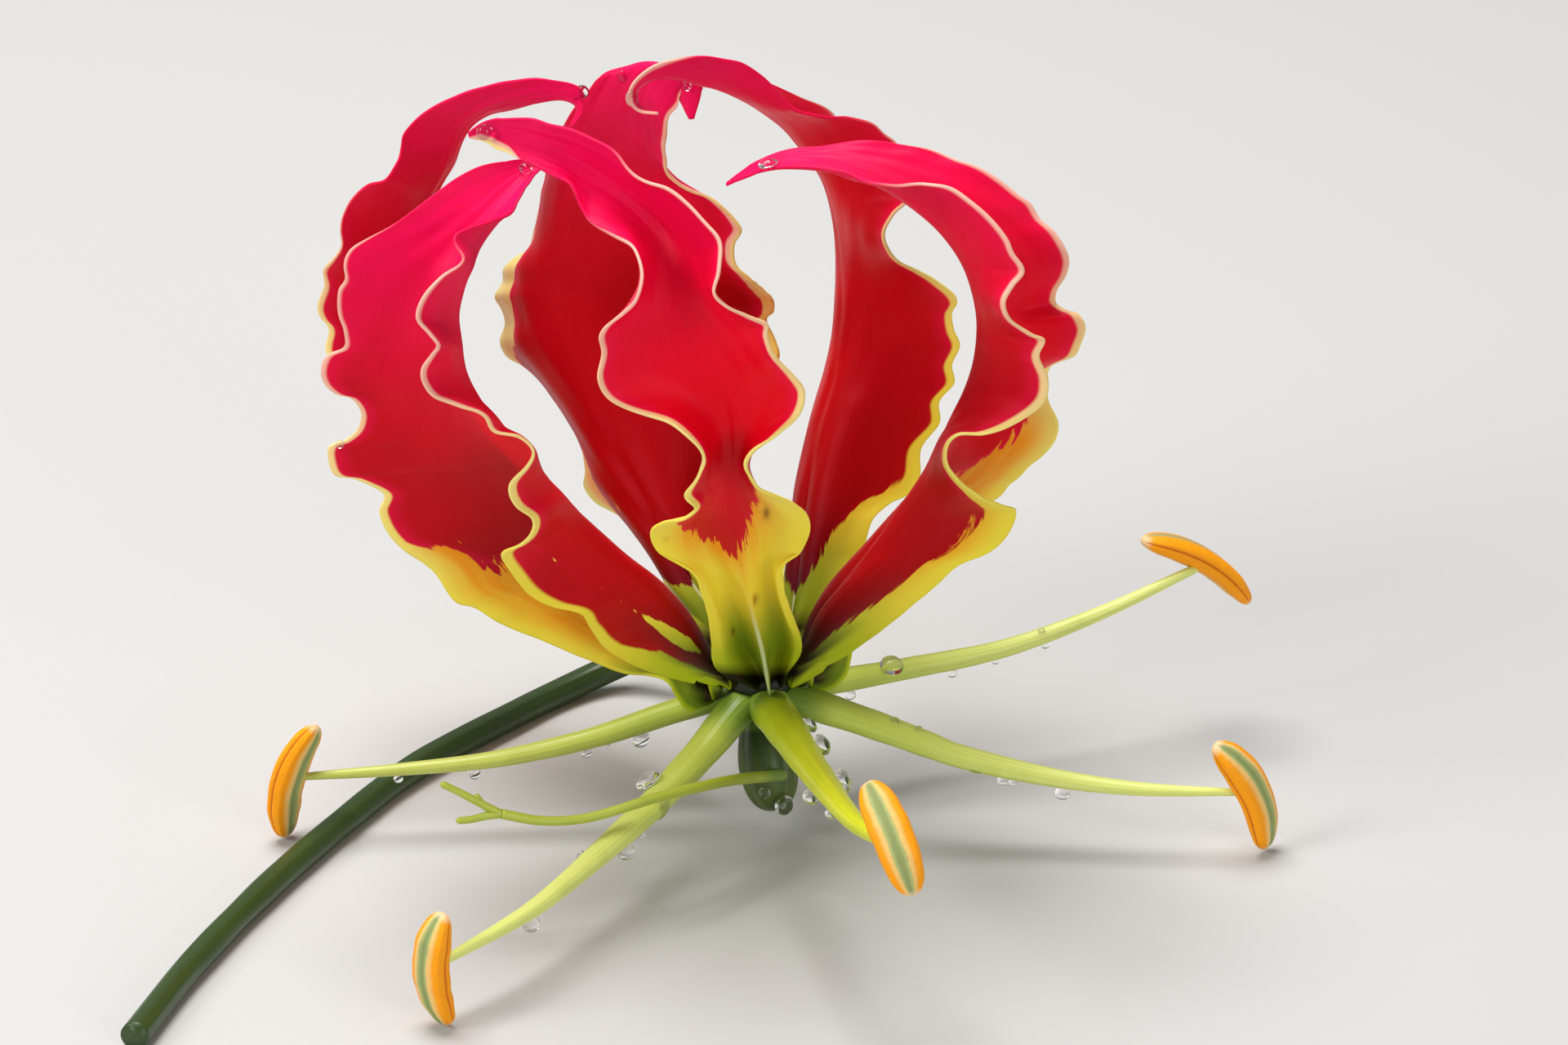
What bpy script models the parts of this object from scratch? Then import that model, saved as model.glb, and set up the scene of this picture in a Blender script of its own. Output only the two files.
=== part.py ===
# Glory lily: one picked bloom with its cut stalk, resting on its spread anthers.
# Six swept-back petals stand up as a cage, six stamens spread below them, the ovary hangs
# between the stamens, and the stalk hooks over behind and lies on the surface.
#
# Positions are in millimetres from the middle of the flower's receptacle.  A point is written as
# (right, up, back): how far right and up it lies for somebody looking 25 degrees down at the
# flower, and how far it really lies behind the receptacle.
import bpy
import numpy as np
from math import cos, radians, sin

MM = 0.001
LOOK_DOWN = radians(25.0)
EYE_DISTANCE = 700.0
EYE_RIGHT = 2.1
EYE_UP = 14.6
RECEPTACLE_AT = (4.155, -1.78, 13.11)
CURVE_STEPS = 12

PETAL_THICKNESS = 0.75
PETAL_STATIONS = 44
PETAL_STEPS_ACROSS = 6
RUFFLE_WINDOW = 0.055
RUFFLE_POWER = 2.6
LEAST_STAND = 0.3
NEAREST_WEIGHT = 0.65
END_SLACK = 1.6
CLAW_SHARE = 0.05
TIP_SHARE = 0.93
CLAW_HALF_WIDTH = 1.3
TIP_HALF_WIDTH = 0.45

FILAMENT_SIDES = 10
FILAMENT_STATIONS = 13

ANTHER_WIDTH = 3.6
ANTHER_DEPTH = 2.5
ANTHER_BOW = 1.3
ANTHER_SIDES = 12
ANTHER_STATIONS = 13

OVARY_RADIUS = 2.6
OVARY_GROOVE = 0.16
OVARY_NECK = 0.62
OVARY_SWELL_BY = 0.59
OVARY_TIP_RADIUS = 0.15
OVARY_SIDES = 24
OVARY_STATIONS = 13

STYLE_RADIUS = 0.52
STYLE_SIDES = 8
STYLE_STATIONS = 22

STALK_RADIUS = 1.2
RECEPTACLE_RUN = [0.0, 1.4, 2.9, 4.2, 6.0, 8.5]
RECEPTACLE_RADII = [2.2, 2.3, 3.0, 2.7, 1.6, STALK_RADIUS]
RECEPTACLE_TOP = 2.6
RECEPTACLE_FOOT = -1.6
FLOOR_GAP = 0.05
STALK_SIDES = 16
STALK_STATIONS = 46


# Remove whatever the scene opened with
for thing in list(bpy.data.objects):
    bpy.data.objects.remove(thing, do_unlink=True)


def place(right, up, back):
    """The real position of a point given as it is seen, with how far back it lies."""
    toward = (up * sin(LOOK_DOWN) - back) / (
        cos(LOOK_DOWN) + (up - EYE_UP) * sin(LOOK_DOWN) / EYE_DISTANCE
    )
    shrink = 1.0 - toward / EYE_DISTANCE
    true_right = EYE_RIGHT + (right - EYE_RIGHT) * shrink
    true_up = EYE_UP + (up - EYE_UP) * shrink
    height = true_up * cos(LOOK_DOWN) + toward * sin(LOOK_DOWN)
    return np.array([true_right, back, height])


def to_seen(point):
    """Where a real position is seen, as (right, up)."""
    toward = -point[1] * cos(LOOK_DOWN) + point[2] * sin(LOOK_DOWN)
    up = point[1] * sin(LOOK_DOWN) + point[2] * cos(LOOK_DOWN)
    grow = 1.0 / (1.0 - toward / EYE_DISTANCE)
    return np.array([EYE_RIGHT + (point[0] - EYE_RIGHT) * grow, EYE_UP + (up - EYE_UP) * grow])


def spread_evenly(points, count):
    """A smooth curve through the points, cut into stations of even length."""
    pts = np.asarray(points, float)
    first = 2 * pts[0] - pts[1]
    last = 2 * pts[-1] - pts[-2]
    pts = np.vstack([first, pts, last])
    fine = []
    for i in range(1, len(pts) - 2):
        a, b, c, d = pts[i - 1], pts[i], pts[i + 1], pts[i + 2]
        for s in np.linspace(0.0, 1.0, CURVE_STEPS, endpoint=False):
            fine.append(
                0.5
                * (
                    2 * b
                    + (c - a) * s
                    + (2 * a - 5 * b + 4 * c - d) * s**2
                    + (3 * b - a - 3 * c + d) * s**3
                )
            )
    fine.append(pts[-2])
    fine = np.array(fine)
    run = np.concatenate([[0.0], np.cumsum(np.linalg.norm(np.diff(fine, axis=0), axis=1))])
    want = np.linspace(0.0, run[-1], count)
    return np.stack([np.interp(want, run, fine[:, k]) for k in range(fine.shape[1])], axis=1)


def soften(rows, window):
    """Rows averaged along the petal over a window given as a share of its length."""
    count = len(rows)
    spot = np.linspace(0.0, 1.0, count)
    out = np.zeros_like(rows)
    for i in range(count):
        reach = min(window, spot[i] / END_SLACK + 1e-4, (1.0 - spot[i]) / END_SLACK + 1e-4)
        weight = np.exp(-0.5 * ((spot - spot[i]) / reach) ** 2)
        out[i] = (rows * weight[:, None]).sum(axis=0) / weight.sum()
    return out


def settle_ends(rail, rib):
    """Past the claw and the tip the margin keeps its way out from the midrib and draws in."""
    count = len(rib)
    run = np.gradient(rib, axis=0)
    run /= np.linalg.norm(run, axis=1, keepdims=True)
    out = rail.copy()
    ends = (
        (int(CLAW_SHARE * count) + 1, -1, CLAW_HALF_WIDTH),
        (int(TIP_SHARE * count), 1, TIP_HALF_WIDTH),
    )
    for start, way, least in ends:
        arm = rail[start] - rib[start]
        arm = arm - run[start] * (arm @ run[start])
        wide = max(np.linalg.norm(arm), least)
        stop = count - 1 if way > 0 else 0
        for i in range(start, stop + way, way):
            arm = arm - run[i] * (arm @ run[i])
            arm /= np.linalg.norm(arm)
            share = abs(i - start) / max(abs(stop - start), 1)
            out[i] = rib[i] + arm * (wide + (least - wide) * share)
    return out


def margin_rail(seen, rib, half_width, side):
    """A petal's margin in space: seen where it is given, and kept half a width from the midrib.

    Where the margin looks closer to the midrib than that, it stands up toward the eye (side 1)
    or turns away from it (side -1).  A third number gives how far back a point lies instead."""
    given = [s[2] if len(s) > 2 else None for s in seen]
    seen = np.array([s[:2] for s in seen], float)
    count = len(rib)
    flat_rib = np.array([to_seen(p) for p in rib])
    steps = np.linalg.norm(np.diff(seen, axis=0), axis=1)
    by_length = np.concatenate([[0.0], np.cumsum(steps)])
    by_length /= by_length[-1]
    nearest = [np.argmin(np.hypot(*(flat_rib - s).T)) / (count - 1) for s in seen]
    nearest[0], nearest[-1] = 0.0, 1.0
    nearest = np.maximum.accumulate(np.array(nearest))
    share = NEAREST_WEIGHT * nearest + (1.0 - NEAREST_WEIGHT) * by_length
    sight = np.array([0.0, -cos(LOOK_DOWN), sin(LOOK_DOWN)])
    deep = []
    for (right, up), s in zip(seen, share):
        at = s * (count - 1)
        low = int(min(at, count - 2))
        mid = rib[low] + (rib[low + 1] - rib[low]) * (at - low)
        wide = np.interp(s, np.linspace(0, 1, len(half_width)), half_width)
        base = place(right, up, mid[1])
        gap = base - mid
        along = gap @ sight
        apart = np.linalg.norm(gap - along * sight)
        off = max(wide * wide - apart * apart, 0.0) ** 0.5
        deep.append(side * max(off, LEAST_STAND * wide))
    deep = np.array(deep)
    calm = deep.copy()
    calm[1:-1] = 0.25 * deep[:-2] + 0.5 * deep[1:-1] + 0.25 * deep[2:]
    calm[0] = calm[-1] = 0.0
    rail = []
    for (right, up), s, d, back in zip(seen, share, calm, given):
        at = s * (count - 1)
        low = int(min(at, count - 2))
        mid = rib[low] + (rib[low + 1] - rib[low]) * (at - low)
        rail.append(place(right, up, mid[1] - d * cos(LOOK_DOWN) if back is None else back))
    return np.array(rail)


def material(name, rgb, rough):
    mat = bpy.data.materials.new(name)
    mat.use_nodes = True
    shader = mat.node_tree.nodes["Principled BSDF"]
    shader.inputs["Base Color"].default_value = (*rgb, 1.0)
    shader.inputs["Roughness"].default_value = rough
    shader.inputs["Metallic"].default_value = 0.0
    return mat


def add_solid(name, points, faces, mat, origin):
    """One closed solid, its points in millimetres from the receptacle, hung on its own origin."""
    place_at = np.array(RECEPTACLE_AT)
    origin = np.asarray(origin, float)
    pts = (np.asarray(points, float) - origin) * MM
    mesh = bpy.data.meshes.new(name)
    mesh.from_pydata([tuple(p) for p in pts], [], faces)
    mesh.update()
    mesh.polygons.foreach_set("use_smooth", [True] * len(mesh.polygons))
    mesh.materials.append(mat)
    thing = bpy.data.objects.new(name, mesh)
    thing.location = tuple((origin + place_at) * MM)
    bpy.context.scene.collection.objects.link(thing)
    return thing


def add_petal(name, midrib, near, far, widths, near_side, far_side, mat):
    """A thin sheet across three rails: one margin, the midrib and the other margin."""
    rib = spread_evenly([place(*p) for p in midrib], PETAL_STATIONS)
    rails = []
    for seen, side in ((near, near_side), (far, far_side)):
        line = margin_rail(seen, rib, widths, side)
        rails.append(spread_evenly(line, PETAL_STATIONS))
    rails = [settle_ends(r, rib) for r in rails]
    calm = [soften(r, RUFFLE_WINDOW) for r in rails]
    wave = [r - c for r, c in zip(rails, calm)]
    across = np.linspace(-1.0, 1.0, PETAL_STEPS_ACROSS + 1)
    grid = []
    for v in across:
        ripple = wave[0] if v < 0 else wave[1]
        line = rib + v * (calm[1] - calm[0]) / 2 + v * v * ((calm[0] + calm[1]) / 2 - rib)
        grid.append(line + ripple * abs(v) ** RUFFLE_POWER)
    grid = np.array(grid).transpose(1, 0, 2)
    run_along = np.gradient(grid, axis=0)
    run_across = np.gradient(grid, axis=1)
    face_way = np.cross(run_along, run_across)
    face_way /= np.maximum(np.linalg.norm(face_way, axis=2, keepdims=True), 1e-9)
    spot = np.linspace(0.0, 1.0, PETAL_STATIONS)
    taper = np.interp(spot, [0.0, 0.08, 0.88, 1.0], [0.8, 1.0, 1.0, 0.55])
    half = (PETAL_THICKNESS / 2 * taper)[:, None, None]
    upper = grid + face_way * half
    lower = grid - face_way * half
    rows, cols = grid.shape[:2]
    points = np.vstack([upper.reshape(-1, 3), lower.reshape(-1, 3)])
    under = rows * cols
    faces = []
    for i in range(rows - 1):
        for j in range(cols - 1):
            a, b = i * cols + j, i * cols + j + 1
            c, d = (i + 1) * cols + j + 1, (i + 1) * cols + j
            faces.append((a, d, c, b))
            faces.append((under + a, under + b, under + c, under + d))
    rim = [i * cols for i in range(rows)]
    rim += [(rows - 1) * cols + j for j in range(1, cols)]
    rim += [i * cols + cols - 1 for i in range(rows - 2, -1, -1)]
    rim += [j for j in range(cols - 2, 0, -1)]
    for k in range(len(rim)):
        a, b = rim[k], rim[(k + 1) % len(rim)]
        faces.append((a, under + a, under + b, b))
    return add_solid(name, points, faces, mat, rib[0])


def tube_rings(path, radii, sides, flat=None, start_side=(0.0, 0.0, 1.0)):
    """Rings of points round a path, turned along it without twist."""
    path = np.asarray(path, float)
    tangents = np.gradient(path, axis=0)
    tangents /= np.linalg.norm(tangents, axis=1, keepdims=True)
    side = np.asarray(start_side, float)
    rings = []
    for i in range(len(path)):
        side = side - tangents[i] * (side @ tangents[i])
        side /= np.linalg.norm(side)
        other = np.cross(tangents[i], side)
        ring = []
        for k in range(sides):
            turn = 2 * np.pi * k / sides
            a, b = radii[i] if np.ndim(radii[i]) else (radii[i], radii[i])
            bulge = 1.0 if flat is None else flat(turn)
            ring.append(path[i] + bulge * (a * np.cos(turn) * side + b * np.sin(turn) * other))
        rings.append(ring)
    return rings


def close_rings(rings):
    """Faces for a tube of rings, closed by a fan onto a point at each end."""
    sides = len(rings[0])
    points = [p for ring in rings for p in ring]
    faces = []
    for i in range(len(rings) - 1):
        for k in range(sides):
            a, b = i * sides + k, i * sides + (k + 1) % sides
            faces.append((a, b, b + sides, a + sides))
    points.append(np.mean(rings[0], axis=0))
    points.append(np.mean(rings[-1], axis=0))
    first, last = len(points) - 2, len(points) - 1
    end = (len(rings) - 1) * sides
    for k in range(sides):
        faces.append((first, (k + 1) % sides, k))
        faces.append((last, end + k, end + (k + 1) % sides))
    return points, faces


# Petals, in order round the flower as seen from above, from the front one to the left
crimson = material("petal_crimson", (0.42, 0.006, 0.02), 0.36)

front_rib = [
    (0.8, 0.3, -3.6), (0.1, 4.1, -7.2), (-0.8, 7.3, -10.5), (-1.7, 11.0, -14.5), (-2.5, 17.5, -19.5),
    (-3.0, 24.5, -22.5), (-6.0, 31.8, -23.0), (-7.2, 36.0, -22.0), (-8.8, 40.0, -19.5),
    (-12.6, 43.8, -17.0), (-17.2, 46.8, -15.0), (-21.0, 48.4, -13.6), (-23.6, 48.9, -13.0),
    (-25.5, 48.5, -13.0),
]
front_near = [
    (-0.4, -0.1), (-3.8, 1.8), (-4.2, 4.0), (-4.5, 6.2), (-5.1, 8.4), (-6.0, 10.3),
    (-8.8, 11.9), (-9.6, 13.6), (-8.6, 14.6), (-6.6, 14.9), (-5.6, 15.8), (-6.5, 17.0), (-5.3, 18.8), (-4.9, 20.3), (-6.1, 22.1),
    (-8.1, 23.4), (-10.9, 24.2), (-13.3, 25.4), (-14.2, 27.2), (-13.8, 29.3), (-14.0, 31.1),
    (-12.1, 32.8), (-10.8, 34.0), (-10.3, 35.7), (-10.6, 37.8), (-11.4, 39.0), (-13.2, 39.9),
    (-14.9, 40.9), (-15.7, 42.2), (-16.6, 44.1), (-19.0, 45.4), (-21.8, 46.8), (-23.8, 47.8),
    (-25.5, 48.4),
]
front_far = [
    (1.4, -0.1), (2.7, 1.8), (3.6, 3.3), (3.5, 4.8), (2.7, 6.8), (2.0, 9.1), (2.1, 11.0), (3.6, 12.1),
    (4.4, 14.0), (3.9, 15.5), (2.1, 16.7), (-0.1, 17.6), (-1.3, 19.4), (-0.6, 20.9), (1.4, 22.1),
    (3.3, 23.9), (3.9, 26.0), (2.9, 27.5), (1.4, 29.0), (0.6, 30.9), (0.6, 32.0), (-1.1, 32.6),
    (-3.1, 33.6), (-4.1, 34.7), (-3.6, 36.6), (-3.5, 38.9), (-4.5, 40.6), (-6.3, 42.6), (-8.0, 43.8),
    (-10.9, 44.9), (-12.5, 46.8), (-14.0, 47.9), (-16.4, 48.9), (-18.4, 49.4), (-20.2, 49.9),
    (-23.4, 49.8), (-25.4, 48.7),
]
front_widths = [1.0, 4.2, 5.8, 7.5, 7.5, 7.5, 7.0, 5.5, 3.0, 0.4]
add_petal("petal_front", front_rib, front_near, front_far, front_widths, 1, 1, crimson)

front_left_rib = [
    (-3.0, 0.4, -1.8), (-4.3, 3.2, -3.0), (-6.1, 6.2, -4.2), (-8.5, 8.6, -5.4), (-12.1, 11.6, -7.4),
    (-16.3, 15.2, -9.6), (-20.6, 19.1, -12.0), (-24.3, 22.9, -13.8), (-26.4, 27.5, -15.0),
    (-27.1, 32.2, -15.4), (-26.7, 35.1, -15.0), (-25.9, 37.4, -14.2), (-23.9, 40.8, -12.4),
    (-21.0, 44.6, -10.0), (-19.0, 45.9, -8.8),
]
front_left_near = [
    (-2.9, 0.7), (-4.3, 0.4), (-6.1, 0.6), (-9.7, 1.6), (-13.3, 3.4), (-14.8, 5.3), (-15.7, 6.6),
    (-18.1, 7.2), (-20.2, 8.3), (-21.7, 10.1), (-22.6, 11.7), (-21.4, 12.5), (-20.1, 13.4),
    (-19.9, 14.9), (-21.4, 16.1), (-21.9, 17.9), (-20.5, 19.4), (-19.9, 20.9), (-21.1, 22.2),
    (-23.2, 22.6), (-24.1, 23.9), (-26.1, 24.8), (-28.4, 25.5), (-29.5, 26.8), (-29.6, 28.0),
    (-28.8, 29.3), (-28.2, 30.1), (-28.9, 31.1), (-29.9, 32.2), (-29.9, 33.2), (-29.2, 34.6),
    (-27.9, 36.1), (-26.4, 37.1), (-26.0, 37.9), (-26.7, 39.4), (-26.1, 40.1), (-24.0, 40.8),
    (-21.9, 41.6), (-21.1, 42.9), (-20.3, 44.4), (-19.0, 45.7),
]
front_left_far = [
    (-3.4, -0.6, -1.4), (-4.4, -1.8, -1.6), (-5.5, -2.1, -1.8), (-6.7, -1.2, -2.2), (-7.8, 0.4, -2.8),
    (-9.6, 1.0), (-12.1, 1.5), (-15.7, 2.9), (-19.3, 4.4), (-22.3, 5.6), (-25.0, 7.2),
    (-26.8, 7.8), (-28.6, 10.4), (-31.0, 12.1), (-32.5, 13.6), (-33.3, 15.5), (-32.9, 17.1),
    (-35.2, 18.4), (-37.2, 18.8), (-37.8, 20.3), (-37.6, 21.3), (-36.4, 21.7), (-35.2, 22.7),
    (-34.9, 24.2), (-35.7, 25.5), (-37.1, 25.9), (-38.1, 26.8), (-38.4, 27.9), (-37.9, 29.2),
    (-36.4, 29.9), (-36.4, 31.4), (-36.9, 32.9), (-36.9, 34.8), (-36.3, 35.9), (-36.4, 37.3),
    (-35.8, 38.5), (-34.2, 39.5), (-31.7, 40.9), (-28.4, 43.4), (-26.1, 45.0), (-24.0, 45.9),
    (-21.1, 46.3), (-19.0, 46.1),
]
front_left_widths = [1.0, 5.0, 8.0, 9.5, 9.5, 9.0, 8.5, 8.0, 4.5, 0.4]
add_petal(
    "petal_front_left", front_left_rib, front_left_near, front_left_far, front_left_widths, 1, -1, crimson
)

back_left_rib = [
    (-2.9, 2.4, 2.0), (-7.0, 5.8, 4.0), (-12.0, 9.8, 6.8), (-17.0, 14.2, 9.8), (-22.0, 19.2, 12.6),
    (-26.4, 24.4, 15.0), (-29.0, 30.0, 17.0), (-30.5, 34.8, 17.6), (-30.5, 38.5, 17.4),
    (-29.6, 41.5, 17.0), (-28.4, 43.7, 16.4), (-27.1, 45.9, 15.6), (-26.2, 48.2, 14.6),
    (-25.2, 49.6, 13.6), (-23.6, 50.5, 12.6), (-21.8, 50.9, 11.6), (-19.5, 51.5, 10.4),
    (-17.2, 51.7, 9.4), (-15.9, 50.9, 8.8), (-16.6, 49.2, 8.4),
]
back_left_near = [
    (-3.3, 1.9), (-8.0, 4.4), (-14.0, 8.0), (-20.0, 12.5), (-26.0, 17.5), (-30.5, 21.5),
    (-33.5, 24.0), (-35.8, 27.0), (-37.9, 29.4), (-37.7, 31.5), (-38.4, 32.5), (-38.7, 33.6),
    (-38.1, 35.4), (-38.2, 36.7), (-37.4, 37.6), (-36.6, 38.8), (-36.7, 40.2), (-36.5, 41.4),
    (-35.6, 43.0), (-34.2, 44.1), (-32.7, 44.7), (-31.7, 46.2), (-31.4, 47.5), (-31.1, 48.7),
    (-29.4, 50.4), (-26.6, 51.9), (-23.5, 52.9), (-20.1, 53.4), (-18.1, 53.3), (-15.9, 52.7),
    (-15.1, 51.2), (-15.9, 49.7), (-16.5, 49.1),
]
back_left_far = [
    (-3.0, 3.0), (-8.7, 7.6), (-13.2, 10.8), (-17.8, 14.4), (-22.2, 18.9), (-26.2, 23.0),
    (-28.2, 28.0), (-29.6, 33.0), (-30.8, 37.5), (-31.0, 42.0), (-30.0, 46.0), (-28.0, 47.5), (-28.0, 49.5),
    (-25.5, 51.0), (-22.5, 51.6), (-19.5, 52.2), (-17.2, 52.3), (-16.4, 50.7), (-16.7, 49.2),
]
back_left_widths = [1.0, 5.0, 8.0, 9.0, 9.0, 8.5, 7.5, 5.5, 3.0, 0.4]
add_petal("petal_back_left", back_left_rib, back_left_near, back_left_far, back_left_widths, 1, -1, crimson)

back_rib = [
    (-1.8, 3.2, 4.2), (-4.5, 7.3, 7.2), (-7.8, 12.2, 10.8), (-12.1, 20.4, 15.4), (-15.0, 28.2, 18.4),
    (-16.1, 35.4, 19.6), (-15.4, 41.8, 19.0), (-13.4, 46.8, 17.2), (-11.8, 50.4, 15.4),
    (-10.6, 53.0, 13.8), (-8.6, 54.3, 12.6), (-6.6, 53.0, 11.8), (-6.0, 49.9, 11.2),
]
back_near = [
    (-2.3, 2.9), (-5.2, 5.6), (-8.2, 9.1), (-8.6, 11.6), (-9.9, 13.6), (-11.5, 15.5), (-13.3, 16.7),
    (-14.3, 18.2), (-14.0, 19.7), (-15.1, 22.1), (-16.6, 24.5), (-17.6, 25.7), (-19.2, 27.4),
    (-21.1, 28.6), (-22.2, 29.3), (-22.7, 30.4), (-22.2, 31.9), (-22.5, 33.3), (-23.1, 34.4),
    (-22.4, 35.6), (-22.4, 36.8), (-21.5, 37.6), (-19.9, 38.3), (-19.4, 40.0), (-19.1, 41.8),
    (-18.9, 44.1), (-18.0, 47.5), (-16.6, 50.4), (-15.0, 52.4), (-14.1, 53.5), (-12.5, 54.2),
    (-10.2, 54.8), (-8.4, 54.6), (-7.6, 53.0), (-6.2, 50.0),
]
back_far = [
    (-1.4, 3.6), (-2.4, 8.0), (-3.2, 13.0), (-3.4, 18.0), (-2.0, 22.5), (0.2, 26.0), (1.6, 28.8),
    (1.4, 30.4), (0.6, 32.3), (1.2, 33.1), (1.0, 34.4), (-0.7, 35.7), (-2.1, 37.3), (-2.2, 38.9),
    (-1.6, 40.2), (-2.8, 41.8), (-4.1, 42.9), (-5.9, 43.5), (-7.9, 44.8), (-8.3, 46.6), (-8.3, 48.4),
    (-8.1, 49.9), (-7.2, 51.0), (-7.0, 52.0), (-6.3, 53.0), (-5.0, 53.0), (-5.8, 50.0),
]
back_widths = [1.0, 5.0, 8.0, 10.0, 10.5, 10.0, 8.0, 5.0, 2.6, 0.4]
add_petal("petal_back", back_rib, back_near, back_far, back_widths, -1, -1, crimson)

back_right_rib = [
    (2.2, 3.0, 3.6), (2.8, 6.6, 6.2), (3.4, 11.0, 9.2), (4.0, 16.3, 12.0), (5.1, 22.4, 14.5),
    (6.4, 27.4, 16.0), (7.0, 31.0, 16.8), (7.2, 34.2, 17.0), (7.1, 37.5, 17.0), (6.7, 40.8, 16.5),
    (5.9, 43.9, 15.5), (4.9, 45.8, 14.6), (3.4, 47.7, 13.2), (2.1, 49.2, 12.0), (0.1, 50.7, 10.6),
    (-1.6, 51.7, 8.6), (-3.4, 52.5, 6.8), (-5.2, 53.0, 5.0), (-6.9, 53.5, 3.6), (-8.4, 53.6, 2.6),
    (-9.8, 53.3, 1.8), (-10.8, 52.5, 1.2), (-11.1, 51.6, 0.8), (-10.4, 50.7, 0.4), (-8.9, 50.4, 0.0),
]
back_right_near = [
    (2.6, 2.6), (5.0, 5.0), (7.6, 8.4), (9.0, 11.2), (9.2, 12.6), (9.9, 14.9), (11.4, 16.3),
    (13.1, 17.1), (14.0, 18.6), (14.1, 21.1), (15.7, 23.3), (15.7, 25.2), (17.0, 26.8), (16.8, 28.4),
    (17.5, 30.1), (17.0, 31.4), (16.8, 32.9), (17.2, 34.2), (15.2, 35.9), (13.1, 36.9), (11.5, 38.1),
    (10.9, 39.9), (11.7, 41.6), (13.0, 42.9), (13.2, 45.2), (12.1, 47.6), (10.9, 48.6), (9.8, 49.5),
    (7.8, 49.9), (5.6, 50.1), (3.4, 50.6), (2.1, 51.6), (1.1, 52.8), (0.1, 53.7), (-1.6, 54.8),
    (-3.4, 55.2), (-5.2, 55.4), (-6.9, 55.2), (-8.7, 54.8), (-10.1, 54.1), (-11.1, 53.1),
    (-11.5, 52.0), (-11.3, 51.0), (-10.4, 50.2), (-9.0, 50.2),
]
back_right_far = [
    (2.4, 3.4), (4.6, 9.5), (5.6, 15.0), (7.0, 20.0), (8.2, 26.0), (9.6, 31.0), (9.4, 36.0),
    (9.6, 40.5), (8.6, 44.5), (7.6, 48.0), (6.2, 50.6), (3.6, 51.8), (1.4, 52.8), (-1.0, 53.8),
    (-3.6, 54.2), (-6.0, 54.4), (-8.4, 54.3), (-10.2, 53.4), (-10.9, 52.2), (-10.7, 51.2), (-9.0, 50.6),
]
back_right_widths = [1.0, 5.0, 8.5, 10.5, 10.5, 9.5, 7.0, 4.0, 2.2, 0.4]
add_petal(
    "petal_back_right", back_right_rib, back_right_near, back_right_far, back_right_widths, 1, -1, crimson
)

front_right_rib = [
    (3.0, 0.6, -1.7), (4.2, 4.4, -2.8), (5.6, 7.3, -3.8), (8.8, 11.2, -5.4), (11.4, 14.7, -6.8),
    (14.0, 18.2, -8.2), (16.2, 21.7, -9.4), (17.7, 25.2, -10.2), (18.9, 28.7, -10.8),
    (19.2, 32.4, -11.0), (18.8, 35.3, -10.8), (17.9, 37.7, -10.4), (16.1, 40.1, -9.8),
    (13.8, 42.1, -9.0), (11.5, 43.7, -8.2), (9.0, 45.0, -7.4), (6.0, 45.9, -6.6), (3.2, 46.2, -6.0),
    (0.4, 45.8, -5.4), (-1.6, 44.9, -5.0), (-2.9, 44.2, -4.8),
]
front_right_near = [
    (3.0, 1.5), (4.2, 1.4), (5.4, 1.9), (7.7, 3.1), (11.9, 6.2), (15.4, 9.1), (17.3, 10.8),
    (20.1, 12.0), (21.7, 13.6), (22.4, 15.6), (20.9, 16.2), (19.1, 16.9), (17.5, 18.2), (16.4, 19.6),
    (16.4, 21.3), (17.5, 22.3), (19.7, 22.4), (21.9, 23.1), (24.7, 25.0), (25.2, 27.0), (24.4, 29.1),
    (24.9, 30.5), (23.8, 31.1), (22.0, 32.2), (21.4, 33.8), (22.2, 35.3), (23.1, 36.6), (22.2, 38.1),
    (21.6, 39.4), (20.1, 41.2), (18.5, 42.7), (16.6, 43.9), (14.6, 44.2), (11.7, 44.1), (9.6, 44.3),
    (7.8, 45.2), (5.2, 45.6), (2.2, 45.7), (-0.4, 45.2), (-2.2, 44.5), (-2.9, 44.1),
]
front_right_far = [
    (3.6, 0.2, -1.0), (5.0, 0.0, -0.2), (6.2, 0.4, 0.2), (7.3, 1.5, 0.4), (7.9, 3.6, 0.2),
    (9.8, 7.0), (13.8, 11.4), (17.9, 14.8), (20.9, 16.9), (21.9, 18.0),
    (23.6, 19.6), (25.6, 21.5), (26.1, 23.3), (25.2, 25.4), (25.2, 27.9), (26.1, 28.7), (27.5, 29.2),
    (28.1, 30.3), (28.5, 31.6), (28.0, 32.7), (27.0, 33.1), (25.9, 33.8), (25.9, 34.9), (26.8, 36.4),
    (27.0, 37.9), (25.9, 39.9), (24.5, 41.2), (23.7, 42.5), (22.6, 43.3), (21.1, 44.5), (19.4, 45.6),
    (17.4, 46.3), (15.0, 47.2), (12.1, 47.7), (10.0, 48.0), (7.8, 47.9), (5.6, 47.5), (3.6, 47.4),
    (1.6, 47.0), (-0.4, 46.1), (-2.2, 45.0), (-2.9, 44.4),
]
front_right_widths = [1.0, 4.5, 7.5, 9.0, 9.0, 8.5, 8.0, 6.0, 3.0, 0.4]
add_petal(
    "petal_front_right", front_right_rib, front_right_near, front_right_far, front_right_widths, 1, -1, crimson
)

# Filaments, from under the receptacle out to the anthers, and the anthers they carry
filament_green = material("filament_green", (0.52, 0.56, 0.09), 0.42)
anther_orange = material("anther_orange", (0.78, 0.27, 0.02), 0.6)


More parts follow.
